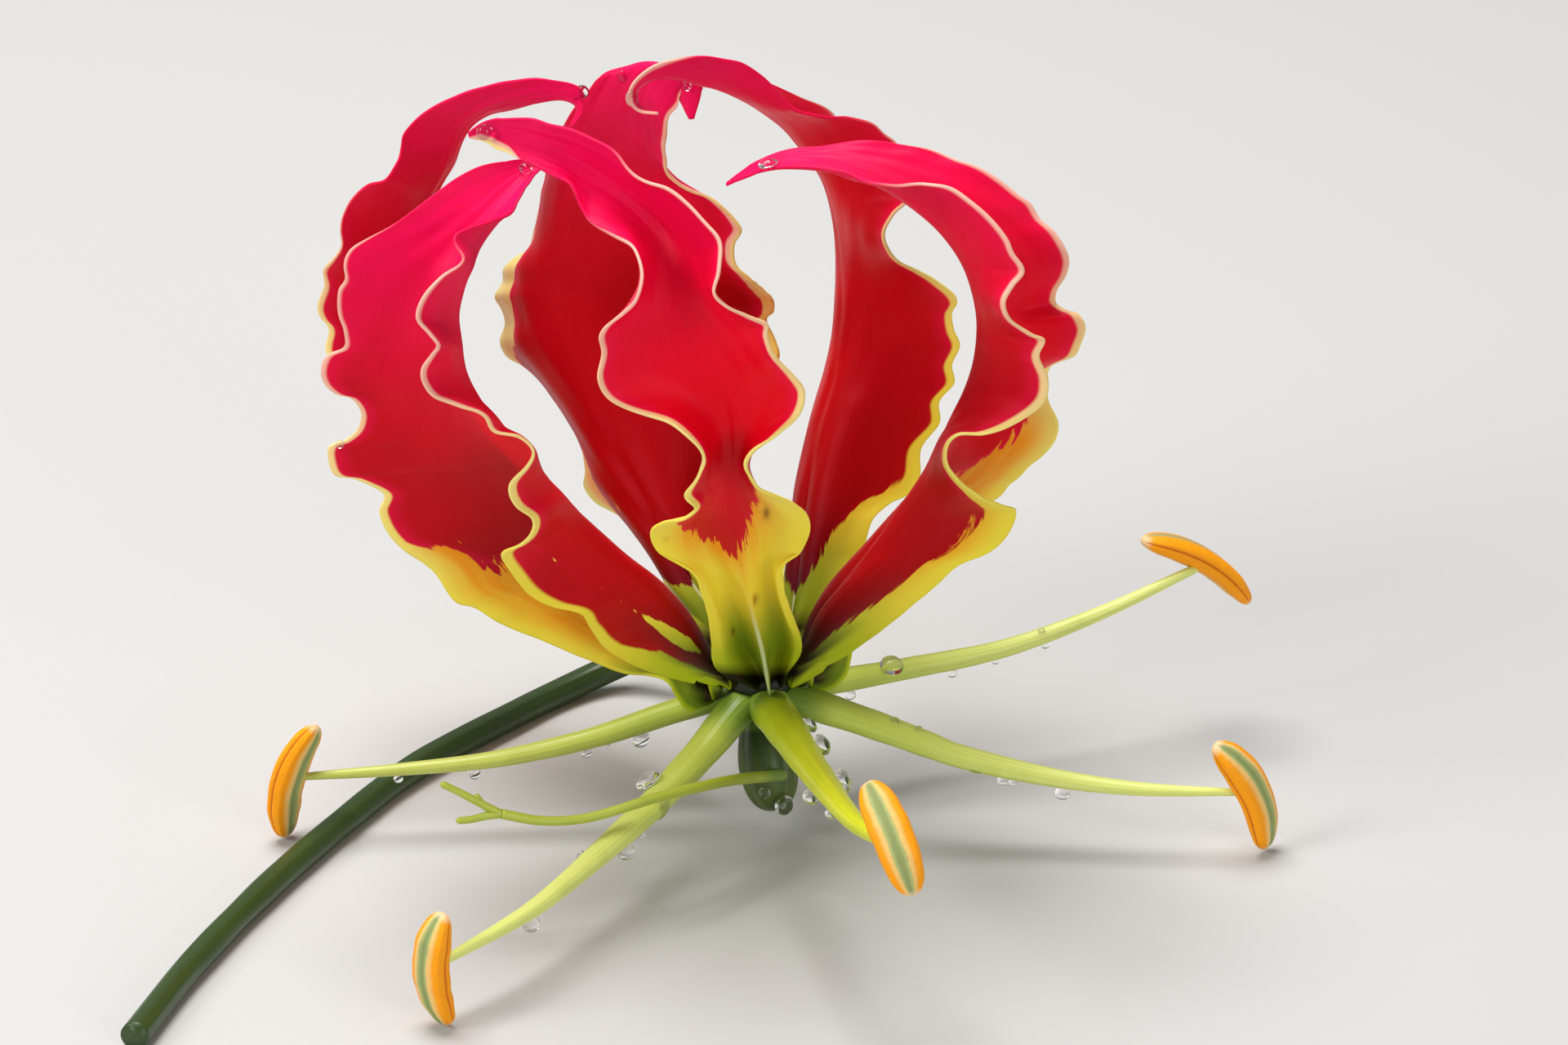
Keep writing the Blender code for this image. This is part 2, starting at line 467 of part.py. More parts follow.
def add_filament(name, points, start_radius, end_radius):
    path = spread_evenly([place(*p) for p in points], FILAMENT_STATIONS)
    share = np.linspace(0.0, 1.0, FILAMENT_STATIONS)
    radii = end_radius + (start_radius - end_radius) * (1.0 - share) ** 0.85
    points, faces = close_rings(tube_rings(path, radii, FILAMENT_SIDES))
    return add_solid(name, points, faces, filament_green, path[0])


def add_anther(name, head, foot, bow_way):
    """A boat-shaped pollen sac between its two ends, bowed away from its filament."""
    a, b = place(*head), place(*foot)
    axis = (b - a) / np.linalg.norm(b - a)
    away = np.asarray(bow_way, float)
    away = away - axis * (away @ axis)
    away /= np.linalg.norm(away)
    share = np.linspace(0.0, 1.0, ANTHER_STATIONS)
    path = [a + (b - a) * s + away * ANTHER_BOW * (1.0 - (2.0 * s - 1.0) ** 2) for s in share]
    fat = [max(1.0 - abs(2.0 * s - 1.0) ** 3.2, 0.0) ** 0.5 * 0.86 + 0.14 for s in share]
    radii = [(ANTHER_DEPTH / 2 * f, ANTHER_WIDTH / 2 * f) for f in fat]
    rings = tube_rings(path, radii, ANTHER_SIDES, start_side=away)
    points, faces = close_rings(rings)
    return add_solid(name, points, faces, anther_orange, np.mean(path, axis=0))


add_filament(
    "filament_left",
    [(-3.3, -0.6, -0.6), (-8.1, -2.1, -0.9), (-14.9, -4.3, -1.4), (-23.1, -6.1, -2.0), (-31.4, -7.0, -2.6),
     (-39.4, -7.6, -3.0)],
    1.15, 0.32,
)
add_anther("anther_left", (-38.7, -3.2, -3.0), (-41.4, -12.8, -3.0), (-1.0, -0.15, 0.0))
add_filament(
    "filament_front_left",
    [(-2.1, -1.9, -3.0), (-5.0, -5.4, -6.6), (-9.3, -10.0, -13.8), (-14.3, -14.6, -21.2),
     (-20.0, -19.3, -29.2), (-27.2, -23.5, -36.8)],
    1.55, 0.36,
)
add_anther("anther_front_left", (-27.6, -19.6, -37.2), (-27.2, -29.2, -37.4), (-1.0, -0.3, 0.0))
add_filament(
    "filament_front",
    [(0.9, -1.6, -3.2), (2.5, -3.9, -9.5), (5.0, -7.5, -19.5), (8.3, -11.6, -31.5), (11.1, -13.3, -37.8)],
    1.75, 0.55,
)
add_anther("anther_front", (9.4, -8.2, -35.2), (13.4, -18.0, -41.0), (0.25, -0.8, 0.2))
add_filament(
    "filament_right",
    [(3.3, -0.9, -1.0), (9.4, -2.9, -2.0), (14.6, -4.8, -3.0), (18.0, -6.0, -3.6), (25.5, -7.7, -4.6),
     (33.0, -8.7, -5.6), (41.1, -9.0, -6.0)],
    1.5, 0.3,
)
add_anther("anther_right", (39.7, -4.9, -6.2), (44.1, -13.9, -5.6), (1.0, 0.1, 0.3))
add_filament(
    "filament_back_right",
    [(3.4, 0.2, 2.2), (7.1, 0.8, 4.2), (13.2, 1.9, 7.0), (21.4, 3.6, 10.0), (29.6, 6.6, 13.2),
     (37.3, 10.2, 16.2)],
    1.2, 0.42,
)
add_anther("anther_back_right", (33.4, 13.0, 16.4), (42.7, 7.6, 19.4), (0.5, 0.3, 0.6))
add_filament(
    "filament_back",
    [(0.2, 0.2, 3.4), (0.5, 1.9, 12.0), (1.0, 4.6, 24.0), (1.5, 8.2, 34.0), (2.0, 11.4, 42.7)],
    1.3, 0.36,
)
add_anther("anther_back", (2.0, 16.2, 42.8), (2.2, 7.0, 43.0), (0.0, 1.0, 0.1))

# Ovary: three fused lobes hanging below the receptacle
ovary_green = material("ovary_green", (0.10, 0.19, 0.03), 0.45)
ovary_path = spread_evenly([(0.0, -0.4, -2.5), (0.6, -1.6, -6.0), (1.3, -3.4, -10.2)], OVARY_STATIONS)
ovary_radii = []
for s in np.linspace(0.0, 1.0, OVARY_STATIONS):
    swell = OVARY_NECK + (1.0 - OVARY_NECK) * sin(min(s / OVARY_SWELL_BY, 1.0) * np.pi / 2)
    ovary_radii.append(OVARY_RADIUS * swell * (1.0 - s**5) ** 0.5 + OVARY_TIP_RADIUS)
ovary_rings = tube_rings(
    ovary_path,
    ovary_radii,
    OVARY_SIDES,
    flat=lambda turn: 1.0 - OVARY_GROOVE * (0.5 - 0.5 * np.cos(3 * turn)) ** 3,
    start_side=(0.0, -1.0, 0.0),
)
ovary_points, ovary_faces = close_rings(ovary_rings)
add_solid("ovary", ovary_points, ovary_faces, ovary_green, ovary_path[0])

# Style: a thin arm bent out sideways from the ovary's end, forked in three at its tip
style_green = material("style_green", (0.40, 0.46, 0.04), 0.42)
style_path = spread_evenly(
    [place(*p) for p in [
        (2.0, -7.5, -4.9), (-2.1, -7.9, -10.4), (-5.5, -8.6, -14.2), (-9.5, -9.6, -17.2),
        (-14.9, -11.2, -20.0), (-19.0, -11.5, -21.5), (-22.6, -10.9, -22.2), (-28.0, -8.4, -22.6)]],
    STYLE_STATIONS,
)
style_radii = [STYLE_RADIUS * (1.0 - 0.28 * s) for s in np.linspace(0.0, 1.0, STYLE_STATIONS)]
style_points, style_faces = close_rings(tube_rings(style_path, style_radii, STYLE_SIDES))
add_solid("style", style_points, style_faces, style_green, style_path[0])

# Stalk: a swollen receptacle end on top of the flower, then the thin stalk hooked over behind
# and lying along the surface
stalk_green = material("stalk_green", (0.06, 0.12, 0.03), 0.5)
LYING = STALK_RADIUS + FLOOR_GAP - RECEPTACLE_AT[2]
stalk_points = [
    (0.0, 0.0, RECEPTACLE_FOOT), (0.0, 0.1, 0.2), (0.0, 0.5, RECEPTACLE_TOP), (0.1, 3.2, 4.6),
    (0.1, 8.0, 5.2), (-0.8, 13.5, 3.4), (-2.4, 18.8, -0.2), (-5.0, 23.4, -4.8), (-9.0, 26.4, -8.6),
    (-13.8, 26.6, -11.0), (-18.2, 23.6, LYING), (-22.6, 18.6, LYING),
    (-30.7, 8.5, LYING),
    (-37.0, -3.0, LYING), (-42.9, -15.5, LYING), (-48.2, -29.0, LYING), (-52.1, -41.5, LYING),
]
stalk_path = spread_evenly(stalk_points, STALK_STATIONS)
run = np.concatenate([[0.0], np.cumsum(np.linalg.norm(np.diff(stalk_path, axis=0), axis=1))])
stalk_radii = np.interp(run, RECEPTACLE_RUN, RECEPTACLE_RADII)
stalk_rings = tube_rings(stalk_path, stalk_radii, STALK_SIDES, start_side=(1.0, 0.0, 0.0))
stalk_mesh_points, stalk_faces = close_rings(stalk_rings)
add_solid("flower_stalk", stalk_mesh_points, stalk_faces, stalk_green, stalk_path[0])
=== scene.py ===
import bmesh
import bpy
import numpy as np
from math import cos, radians, sin, pi
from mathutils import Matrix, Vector
from mathutils.bvhtree import BVHTree


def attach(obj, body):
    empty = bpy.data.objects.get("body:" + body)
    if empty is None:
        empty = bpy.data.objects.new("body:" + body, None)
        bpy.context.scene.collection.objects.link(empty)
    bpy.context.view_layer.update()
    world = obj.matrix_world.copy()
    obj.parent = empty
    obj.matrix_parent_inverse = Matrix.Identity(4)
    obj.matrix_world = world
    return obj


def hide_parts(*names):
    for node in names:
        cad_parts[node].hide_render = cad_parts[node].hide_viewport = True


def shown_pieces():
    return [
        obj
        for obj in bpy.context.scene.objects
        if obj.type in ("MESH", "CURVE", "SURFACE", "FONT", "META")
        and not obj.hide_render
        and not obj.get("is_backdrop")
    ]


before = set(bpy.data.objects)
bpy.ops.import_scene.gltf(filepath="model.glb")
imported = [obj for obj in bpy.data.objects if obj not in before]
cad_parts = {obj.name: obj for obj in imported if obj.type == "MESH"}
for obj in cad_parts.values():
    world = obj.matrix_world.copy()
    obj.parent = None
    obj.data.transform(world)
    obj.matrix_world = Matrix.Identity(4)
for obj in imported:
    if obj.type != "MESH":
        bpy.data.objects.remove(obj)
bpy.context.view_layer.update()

MM = 0.001
LOOK_DOWN = radians(25.0)
EYE_DISTANCE = 700.0
EYE_RIGHT, EYE_UP = 2.1, 14.6
RECEPTACLE_AT = np.array([4.155, -1.78, 13.11])
PHOTO_WIDTH_PX, PX_PER_MM = 1920, 14.0
SENSOR = 36.0
CLIP_START, CLIP_END = 0.01, 20.0

lens_eye = bpy.data.cameras.new("eye")
lens_eye.sensor_width = SENSOR
lens_eye.lens = SENSOR * EYE_DISTANCE / (PHOTO_WIDTH_PX / PX_PER_MM)
lens_eye.clip_start, lens_eye.clip_end = CLIP_START, CLIP_END
eye = bpy.data.objects.new("eye", lens_eye)
aim = np.array([EYE_RIGHT, EYE_UP * sin(LOOK_DOWN), EYE_UP * cos(LOOK_DOWN)]) + RECEPTACLE_AT
toward_eye = np.array([0.0, -cos(LOOK_DOWN), sin(LOOK_DOWN)])
eye.location = (aim + toward_eye * EYE_DISTANCE) * MM
eye.rotation_euler = (pi / 2 - LOOK_DOWN, 0.0, 0.0)
bpy.context.scene.collection.objects.link(eye)
bpy.context.scene.camera = eye
bpy.context.scene.view_settings.view_transform = "Standard"
bpy.context.scene.view_settings.look = "None"

FLOOR_HALF = 1.6
FLOOR_COLOUR = (0.56, 0.56, 0.545, 1.0)
FLOOR_ROUGHNESS = 0.75
pale_floor = bpy.data.materials.new("pale_floor")
pale_floor.use_nodes = True
floor_shader = pale_floor.node_tree.nodes["Principled BSDF"]
floor_shader.inputs["Base Color"].default_value = FLOOR_COLOUR
floor_shader.inputs["Roughness"].default_value = FLOOR_ROUGHNESS
floor_mesh = bpy.data.meshes.new("floor")
floor_mesh.from_pydata(
    [(-FLOOR_HALF, -FLOOR_HALF, 0), (FLOOR_HALF, -FLOOR_HALF, 0), (FLOOR_HALF, FLOOR_HALF, 0),
     (-FLOOR_HALF, FLOOR_HALF, 0)], [], [(0, 1, 2, 3)])
floor_mesh.materials.append(pale_floor)
floor = bpy.data.objects.new("floor", floor_mesh)
bpy.context.scene.collection.objects.link(floor)
floor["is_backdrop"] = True


def soft_lamp(name, spot, target, size, power, colour=(1.0, 1.0, 1.0)):
    """A round lamp at a spot, facing its target, both in metres."""
    lamp = bpy.data.lights.new(name, "AREA")
    lamp.shape = "DISK"
    lamp.size = size
    lamp.energy = power
    lamp.color = colour
    thing = bpy.data.objects.new(name, lamp)
    thing.location = spot
    way = Vector(target) - Vector(spot)
    thing.rotation_euler = way.to_track_quat("-Z", "Y").to_euler()
    bpy.context.scene.collection.objects.link(thing)


soft_lamp("sky_lamp", (-0.12, 0.12, 0.75), (0.0, 0.0, 0.04), size=0.5, power=6.4, colour=(1.0, 0.98, 0.97))
soft_lamp("side_lamp", (-0.6, -0.35, 0.45), (0.0, 0.0, 0.04), size=0.35, power=3.0)
soft_lamp("front_lamp", (0.45, -0.7, 0.25), (0.0, 0.0, 0.03), size=0.4, power=1.8)
ROOM_TINT = (0.85, 0.88, 0.92, 1.0)
ROOM_GLOW = 0.27
room = bpy.data.worlds.new("room")
room.use_nodes = True
room_light = room.node_tree.nodes["Background"]
room_light.inputs["Color"].default_value = ROOM_TINT
room_light.inputs["Strength"].default_value = ROOM_GLOW
bpy.context.scene.world = room


# The flower stalk: a juicy green stem, swollen at its top into the receptacle that all the other
# parts grow from.  It hooks over behind the petals and its cut length lies on the surface.
STALK_RADIUS = 1.2
STALK_STEPS, STALK_SIDES = 260, 36
STALK_WAVER = 0.03
STALK_RIDGES, RIDGE_HEIGHT, RIDGES_END = 6, 0.03, 0.9
FLOOR_GAP = 0.05
CURVE_STEPS = 24
RIPPLE_PARTS = 6
RECEPTACLE_FOOT, RECEPTACLE_TOP = -1.6, 2.6
RECEPTACLE_RUN = [0.0, 1.4, 2.9, 4.2, 6.0, 8.5]
RECEPTACLE_RADII = [2.5, 2.9, 3.5, 3.0, 1.6, STALK_RADIUS]
STALK_LYING = STALK_RADIUS + FLOOR_GAP - RECEPTACLE_AT[2]
STALK_LINE = [
    (0.0, 0.0, RECEPTACLE_FOOT), (0.0, 0.1, 0.2), (0.0, 0.5, RECEPTACLE_TOP), (0.1, 3.2, 4.6),
    (0.1, 8.0, 5.2), (-0.8, 13.5, 3.4), (-2.4, 18.8, -0.2), (-5.0, 23.4, -4.8), (-9.0, 26.4, -8.6),
    (-13.8, 26.6, -11.0), (-18.2, 23.6, STALK_LYING), (-22.6, 18.6, STALK_LYING),
    (-30.7, 8.5, STALK_LYING), (-37.0, -3.0, STALK_LYING), (-42.9, -15.5, STALK_LYING),
    (-48.2, -29.0, STALK_LYING), (-52.1, -41.5, STALK_LYING),
]


def smooth_line(points, count):
    """A smooth curve through the points, cut into steps of even length."""
    knots = np.asarray(points, float)
    knots = np.vstack([2 * knots[0] - knots[1], knots, 2 * knots[-1] - knots[-2]])
    fine = []
    for i in range(1, len(knots) - 2):
        a, b, c, d = knots[i - 1:i + 3]
        for s in np.linspace(0.0, 1.0, CURVE_STEPS, endpoint=False):
            bend = (2 * a - 5 * b + 4 * c - d) * s**2 + (3 * b - a - 3 * c + d) * s**3
            fine.append(0.5 * (2 * b + (c - a) * s + bend))
    fine.append(knots[-2])
    fine = np.array(fine)
    run = np.concatenate([[0.0], np.cumsum(np.linalg.norm(np.diff(fine, axis=0), axis=1))])
    want = np.linspace(0.0, run[-1], count)
    return np.stack([np.interp(want, run, fine[:, k]) for k in range(fine.shape[1])], axis=1)


def ripple(spots, seed, waves):
    """A smooth wandering number between about -1 and 1 for each spot, the same on every run."""
    draw = np.random.default_rng(seed)
    total = np.zeros(np.shape(spots))
    for k in range(RIPPLE_PARTS):
        start, height = draw.uniform(0, 2 * pi), draw.uniform(0.5, 1)
        total += np.sin(spots * waves * (0.6 + 0.28 * k) * 2 * pi + start) * height
    return total / (RIPPLE_PARTS / 2)


def tube(path, radii, sides, section=None, start_side=(0.0, 0.0, 1.0), depth_ratio=1.0):
    """Points, faces, and each point's share along and round, for a closed tube on a path.
    section gives how far out each side stands, from its turn and the share along."""
    path = np.asarray(path, float)
    tangents = np.gradient(path, axis=0)
    tangents /= np.linalg.norm(tangents, axis=1, keepdims=True)
    side = np.asarray(start_side, float)
    turns = 2 * pi * np.arange(sides) / sides
    points, along, round_share = [], [], []
    for i, (spot, way) in enumerate(zip(path, tangents)):
        side = side - way * (side @ way)
        side /= np.linalg.norm(side)
        other = np.cross(way, side)
        share = i / (len(path) - 1)
        grow = np.ones(sides) if section is None else section(turns, share)
        out = np.outer(np.cos(turns) * grow, side) + depth_ratio * np.outer(np.sin(turns) * grow, other)
        points.extend(spot + radii[i] * out)
        along.extend([share] * sides)
        round_share.extend(turns / (2 * pi))
    faces = []
    for i in range(len(path) - 1):
        for k in range(sides):
            a, b = i * sides + k, i * sides + (k + 1) % sides
            faces.append((a, b, b + sides, a + sides))
    first = len(points)
    last = first + 1
    last_ring = first - sides
    points.append(np.mean(points[:sides], axis=0))
    points.append(np.mean(points[last_ring:first], axis=0))
    along += [0.0, 1.0]
    round_share += [0.0, 0.0]
    for k in range(sides):
        faces.append((first, (k + 1) % sides, k))
        faces.append((last, last_ring + k, last_ring + (k + 1) % sides))
    return np.array(points), faces, {"along": along, "round": round_share}


def add_piece(name, points, faces, numbers, finish, node):
    """One finished piece: a smooth mesh with its named numbers, standing for a CAD node."""
    mesh = bpy.data.meshes.new(name)
    mesh.from_pydata([tuple((np.asarray(p) + RECEPTACLE_AT) * MM) for p in points], [], faces)
    for key, values in numbers.items():
        mesh.attributes.new(key, "FLOAT", "POINT").data.foreach_set("value", np.asarray(values, float))
    mesh.polygons.foreach_set("use_smooth", [True] * len(mesh.polygons))
    mesh.materials.append(finish)
    mesh.update()
    piece = bpy.data.objects.new(name, mesh)
    bpy.context.scene.collection.objects.link(piece)
    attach(piece, "root")
    if node:
        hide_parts(node)
    return piece


class Finish:
    """A node material with short ways to add nodes to it."""

    def __init__(self, name, rough):
        self.material = bpy.data.materials.new(name)
        self.material.use_nodes = True
        self.tree = self.material.node_tree
        self.shader = self.tree.nodes["Principled BSDF"]
        self.shader.inputs["Roughness"].default_value = rough

    def wire(self, source, node, socket):
        self.tree.links.new(source, node.inputs[socket])

    def feed(self, node, socket, value):
        if isinstance(value, bpy.types.NodeSocket):
            self.wire(value, node, socket)
        else:
            node.inputs[socket].default_value = value

    def number(self, name):
        """A number that each point of the mesh carries."""
        node = self.tree.nodes.new("ShaderNodeAttribute")
        node.attribute_name = name
        return node.outputs["Fac"]

    def sums(self, kind, *values):
        node = self.tree.nodes.new("ShaderNodeMath")
        node.operation = kind
        for socket, value in enumerate(values):
            self.feed(node, socket, value)
        return node.outputs[0]

    def times(self, a, b):
        return self.sums("MULTIPLY", a, b)

    def scaled(self, value, by, plus):
        return self.sums("MULTIPLY_ADD", value, by, plus)

    def ramp(self, value, low, high):
        """0 at low, 1 at high, smooth between and level outside; low may be the larger."""
        node = self.tree.nodes.new("ShaderNodeMapRange")
        node.interpolation_type = "SMOOTHSTEP"
        self.feed(node, "Value", value)
        node.inputs["From Min"].default_value = low
        node.inputs["From Max"].default_value = high
        return node.outputs["Result"]

    def blend(self, share, a, b):
        """Colour a where share is 0, colour b where it is 1."""
        node = self.tree.nodes.new("ShaderNodeMix")
        node.data_type = "RGBA"
        self.feed(node, 0, share)
        self.feed(node, 6, (*a, 1.0) if isinstance(a, tuple) else a)
        self.feed(node, 7, (*b, 1.0) if isinstance(b, tuple) else b)
        return node.outputs[2]

    def grain(self, scale, detail, stretched=None, rough=0.5):
        """Cloudy noise, over the object itself or over a stretched grid."""
        node = self.tree.nodes.new("ShaderNodeTexNoise")
        node.inputs["Scale"].default_value = scale
        node.inputs["Detail"].default_value = detail
        node.inputs["Roughness"].default_value = rough
        if stretched is None:
            stretched = self.tree.nodes.new("ShaderNodeTexCoord").outputs["Object"]
        self.wire(stretched, node, "Vector")
        return node.outputs["Fac"]

    def stretch(self, a, a_steps, b, b_steps):
        """A grid for the noise, that runs along two of the mesh's numbers."""
        node = self.tree.nodes.new("ShaderNodeCombineXYZ")
        self.wire(self.times(a, a_steps), node, 0)
        self.wire(self.times(b, b_steps), node, 1)
        return node.outputs[0]

    def bump(self, height, strength, distance):
        node = self.tree.nodes.new("ShaderNodeBump")
        node.inputs["Strength"].default_value = strength
        node.inputs["Distance"].default_value = distance
        self.wire(height, node, "Height")
        self.wire(node.outputs[0], self.shader, "Normal")

    def settle(self, values):
        """Sets the shader's plain values, by the names of their sockets."""
        for name, value in values.items():
            self.shader.inputs[name].default_value = value


ROOT_GREEN = (0.15, 0.25, 0.025)


def stem_finish(name, base_colour, tip_colour, shade_colour, mottle_scale, rooted=True):
    """Smooth plant stem: colour drifting along it, faint long streaks and a fine skin.  A rooted
    one is a deeper green where it leaves the receptacle."""
    made = Finish(name, 0.36)
    along = made.number("along")
    streaks = made.grain(1.0, 2.0, made.stretch(made.number("round"), 26.0, along, 3.0))
    mottle = made.grain(mottle_scale, 4.0)
    body = made.blend(made.ramp(along, 0.03, 0.75 if rooted else 0.12), base_colour, tip_colour)
    if rooted:
        body = made.blend(made.ramp(along, 0.14, 0.05), body, ROOT_GREEN)
    body = made.blend(made.times(made.ramp(streaks, 0.35, 0.75), 0.35), body, shade_colour)
    body = made.blend(made.times(made.ramp(mottle, 0.45, 0.75), 0.25), body, shade_colour)
    made.wire(body, made.shader, "Base Color")
    made.wire(made.scaled(mottle, 0.18, 0.26), made.shader, "Roughness")
    made.bump(made.sums("ADD", made.times(streaks, 0.6), mottle), 0.35, 0.00025)
    made.settle({"Specular IOR Level": 0.45, "Subsurface Weight": 0.12,
                 "Subsurface Radius": (1.0, 1.0, 0.3), "Subsurface Scale": 0.0008})
    return made.material


def stalk_section(turns, share):
    """Six faint ridges, which end before the cut."""
    return 1.0 + RIDGE_HEIGHT * np.cos(STALK_RIDGES * turns) * (share < RIDGES_END)


# The stalk's green is near black at the receptacle end, painted shade under the petals, and is darker
# overall than a living stalk, partly painted shade.
stalk_finish = stem_finish(
    "stalk_skin", (0.004, 0.007, 0.002), (0.036, 0.070, 0.013), (0.016, 0.033, 0.007), 120.0, rooted=False)
stalk_path = smooth_line(STALK_LINE, STALK_STEPS)
stalk_run = np.linspace(0.0, 1.0, STALK_STEPS)
stalk_length = np.linalg.norm(np.diff(stalk_path, axis=0), axis=1).sum()
stalk_radii = np.interp(stalk_run * stalk_length, RECEPTACLE_RUN, RECEPTACLE_RADII)
stalk_radii *= 1.0 + STALK_WAVER * ripple(stalk_run, 3, 7.0)
stalk_points, stalk_faces, stalk_numbers = tube(
    stalk_path, stalk_radii, STALK_SIDES, section=stalk_section, start_side=(1.0, 0.0, 0.0))
add_piece("stalk", stalk_points, stalk_faces, stalk_numbers, stalk_finish, "flower_stalk")


# Six petals: thin, satiny, crimson blades with crisped yellow margins, swept straight back from
# the receptacle into a cage.  Each is a sheet grown across three lines: the two margins as they
# are seen and the midrib between them, folded along the midrib into a channel that opens outward.
PETAL_STATIONS = 300
PETAL_STEPS_ACROSS = 44
PETAL_THICKNESS, MARGIN_THICKNESS = 0.42, 0.24
THICKNESS_ALONG = ([0.0, 0.05, 0.9, 1.0], [1.3, 1.0, 1.0, 0.6])
RUFFLE_WINDOW, RUFFLE_POWER = 0.05, 2.4
LEAST_WINDOW = 1e-4
END_SLACK = 1.6
LEAST_STAND = 0.3
NEAREST_WEIGHT = 0.65
CLAW_SHARE, POUCH_CLAW_SHARE, TIP_SHARE = 0.03, 0.010, 0.965
CLAW_HALF_WIDTH, POINTED_HALF_WIDTH, TIP_HALF_WIDTH = 1.2, 0.45, 0.25
CRISP, CRISP_POWER, CRISP_WAVES = 0.07, 5, 16.0
BUCKLE, BUCKLE_WAVES, BUCKLE_SLANT = 0.07, 5.0, 0.4
RIB_HEIGHT, RIB_WIDTH = 0.16, 0.05
KEEL_WIDTH = 0.10
KEEL_ALONG = ([0.0, 0.02, 0.08, 0.24], [0.6, 1.0, 0.8, 0.0])
GROOVE_REACH = 1.15
GROOVE_ALONG = ([0.0, 0.03, 0.2, 0.38], [0.4, 1.0, 0.8, 0.0])
QUIET_ENDS = 0.1
VEIN_WIDTH, VEIN_REACH, VEIN_SHARPNESS = 0.5, 0.48, 3.0
FLECK_LENGTH = 1.8
FADE_BELOW = 1.1
STEPS_CROWD = 0.86
ALONG = np.linspace(0.0, 1.0, PETAL_STATIONS)
even_steps = np.linspace(-pi / 2, pi / 2, PETAL_STEPS_ACROSS + 1)
ACROSS = np.sin(even_steps * STEPS_CROWD) / sin(pi / 2 * STEPS_CROWD)
FAR_HALF = ACROSS >= 0


def place(right, up, back):
    """The real place of a point given as it is seen from the eye, with how far back it lies."""
    toward = (up * sin(LOOK_DOWN) - back) / (
        cos(LOOK_DOWN) + (up - EYE_UP) * sin(LOOK_DOWN) / EYE_DISTANCE)
    shrink = 1.0 - toward / EYE_DISTANCE
    true_up = EYE_UP + (up - EYE_UP) * shrink
    height = true_up * cos(LOOK_DOWN) + toward * sin(LOOK_DOWN)
    return np.array([EYE_RIGHT + (right - EYE_RIGHT) * shrink, back, height])


def as_seen(point):
    """Where a real place is seen from the eye, as (right, up)."""
    toward = -point[1] * cos(LOOK_DOWN) + point[2] * sin(LOOK_DOWN)
    up = point[1] * sin(LOOK_DOWN) + point[2] * cos(LOOK_DOWN)
    grow = 1.0 / (1.0 - toward / EYE_DISTANCE)
    return np.array([EYE_RIGHT + (point[0] - EYE_RIGHT) * grow, EYE_UP + (up - EYE_UP) * grow])


def fade(value, start, end):
    """0 at start, 1 at end, straight between and level outside; start may be the larger."""
    return np.clip((value - start) / (end - start), 0.0, 1.0)


def margin_rail(seen, rib, half_widths, side):
    """A margin in space.  It is seen where the list says, and it stays about half a petal's width
    from the midrib: where it looks closer, it stands up toward the eye (1) or away from it (-1).
    A third number in the list gives how far back that point lies."""
    flat = np.array([s[:2] for s in seen], float)
    rib_seen = np.array([as_seen(p) for p in rib])
    by_length = np.concatenate([[0.0], np.cumsum(np.linalg.norm(np.diff(flat, axis=0), axis=1))])
    by_length /= by_length[-1]
    nearest = np.array([np.argmin(np.hypot(*(rib_seen - s).T)) / (len(rib) - 1) for s in flat])
    nearest[0], nearest[-1] = 0.0, 1.0
    share = NEAREST_WEIGHT * np.maximum.accumulate(nearest) + (1.0 - NEAREST_WEIGHT) * by_length
    wide = np.interp(share, np.linspace(0, 1, len(half_widths)), half_widths)
    mids, deep = [], []
    for (right, up), s, reach in zip(flat, share, wide):
        at = s * (len(rib) - 1)
        low = int(min(at, len(rib) - 2))
        mid = rib[low] + (rib[low + 1] - rib[low]) * (at - low)
        gap = place(right, up, mid[1]) - mid
        apart = np.linalg.norm(gap - (gap @ toward_eye) * toward_eye)
        mids.append(mid)
        deep.append(side * max(max(reach * reach - apart * apart, 0.0) ** 0.5, LEAST_STAND * reach))
    calm = np.convolve(deep, [0.25, 0.5, 0.25], "same")
    calm[0] = calm[-1] = 0.0
    rail = []
    for spot, mid, stand in zip(seen, mids, calm):
        back = spot[2] if len(spot) > 2 else mid[1] - stand * cos(LOOK_DOWN)
        rail.append(place(spot[0], spot[1], back))
    return np.array(rail)


def settle_ends(rail, rib, claw_share, claw_half_width):
    """Past the claw and near the tip a margin keeps its way out from the midrib and draws in."""
    count = len(rib)
    run = np.gradient(rib, axis=0)
    run /= np.linalg.norm(run, axis=1, keepdims=True)
    out = rail.copy()
    ends = (
        (int(claw_share * count) + 1, 0, claw_half_width),
        (int(TIP_SHARE * count), count - 1, TIP_HALF_WIDTH))
    for start, stop, least in ends:
        way = 1 if stop > start else -1
        arm = rail[start] - rib[start]
        arm = arm - run[start] * (arm @ run[start])
        wide = max(np.linalg.norm(arm), least)
        for i in range(start, stop + way, way):
            arm = arm - run[i] * (arm @ run[i])
            arm /= np.linalg.norm(arm)
            part_way = abs(i - start) / max(abs(stop - start), 1)
            out[i] = rib[i] + arm * (wide + (least - wide) * part_way)
    return out


def soften(rail):
    """A margin with its ruffles averaged away, over a window that closes at both ends."""
    out = np.zeros_like(rail)
    for i, at in enumerate(ALONG):
        reach = min(RUFFLE_WINDOW, min(at, 1.0 - at) / END_SLACK + LEAST_WINDOW)
        weight = np.exp(-0.5 * ((ALONG - at) / reach) ** 2)
        out[i] = (rail * weight[:, None]).sum(axis=0) / weight.sum()
    return out


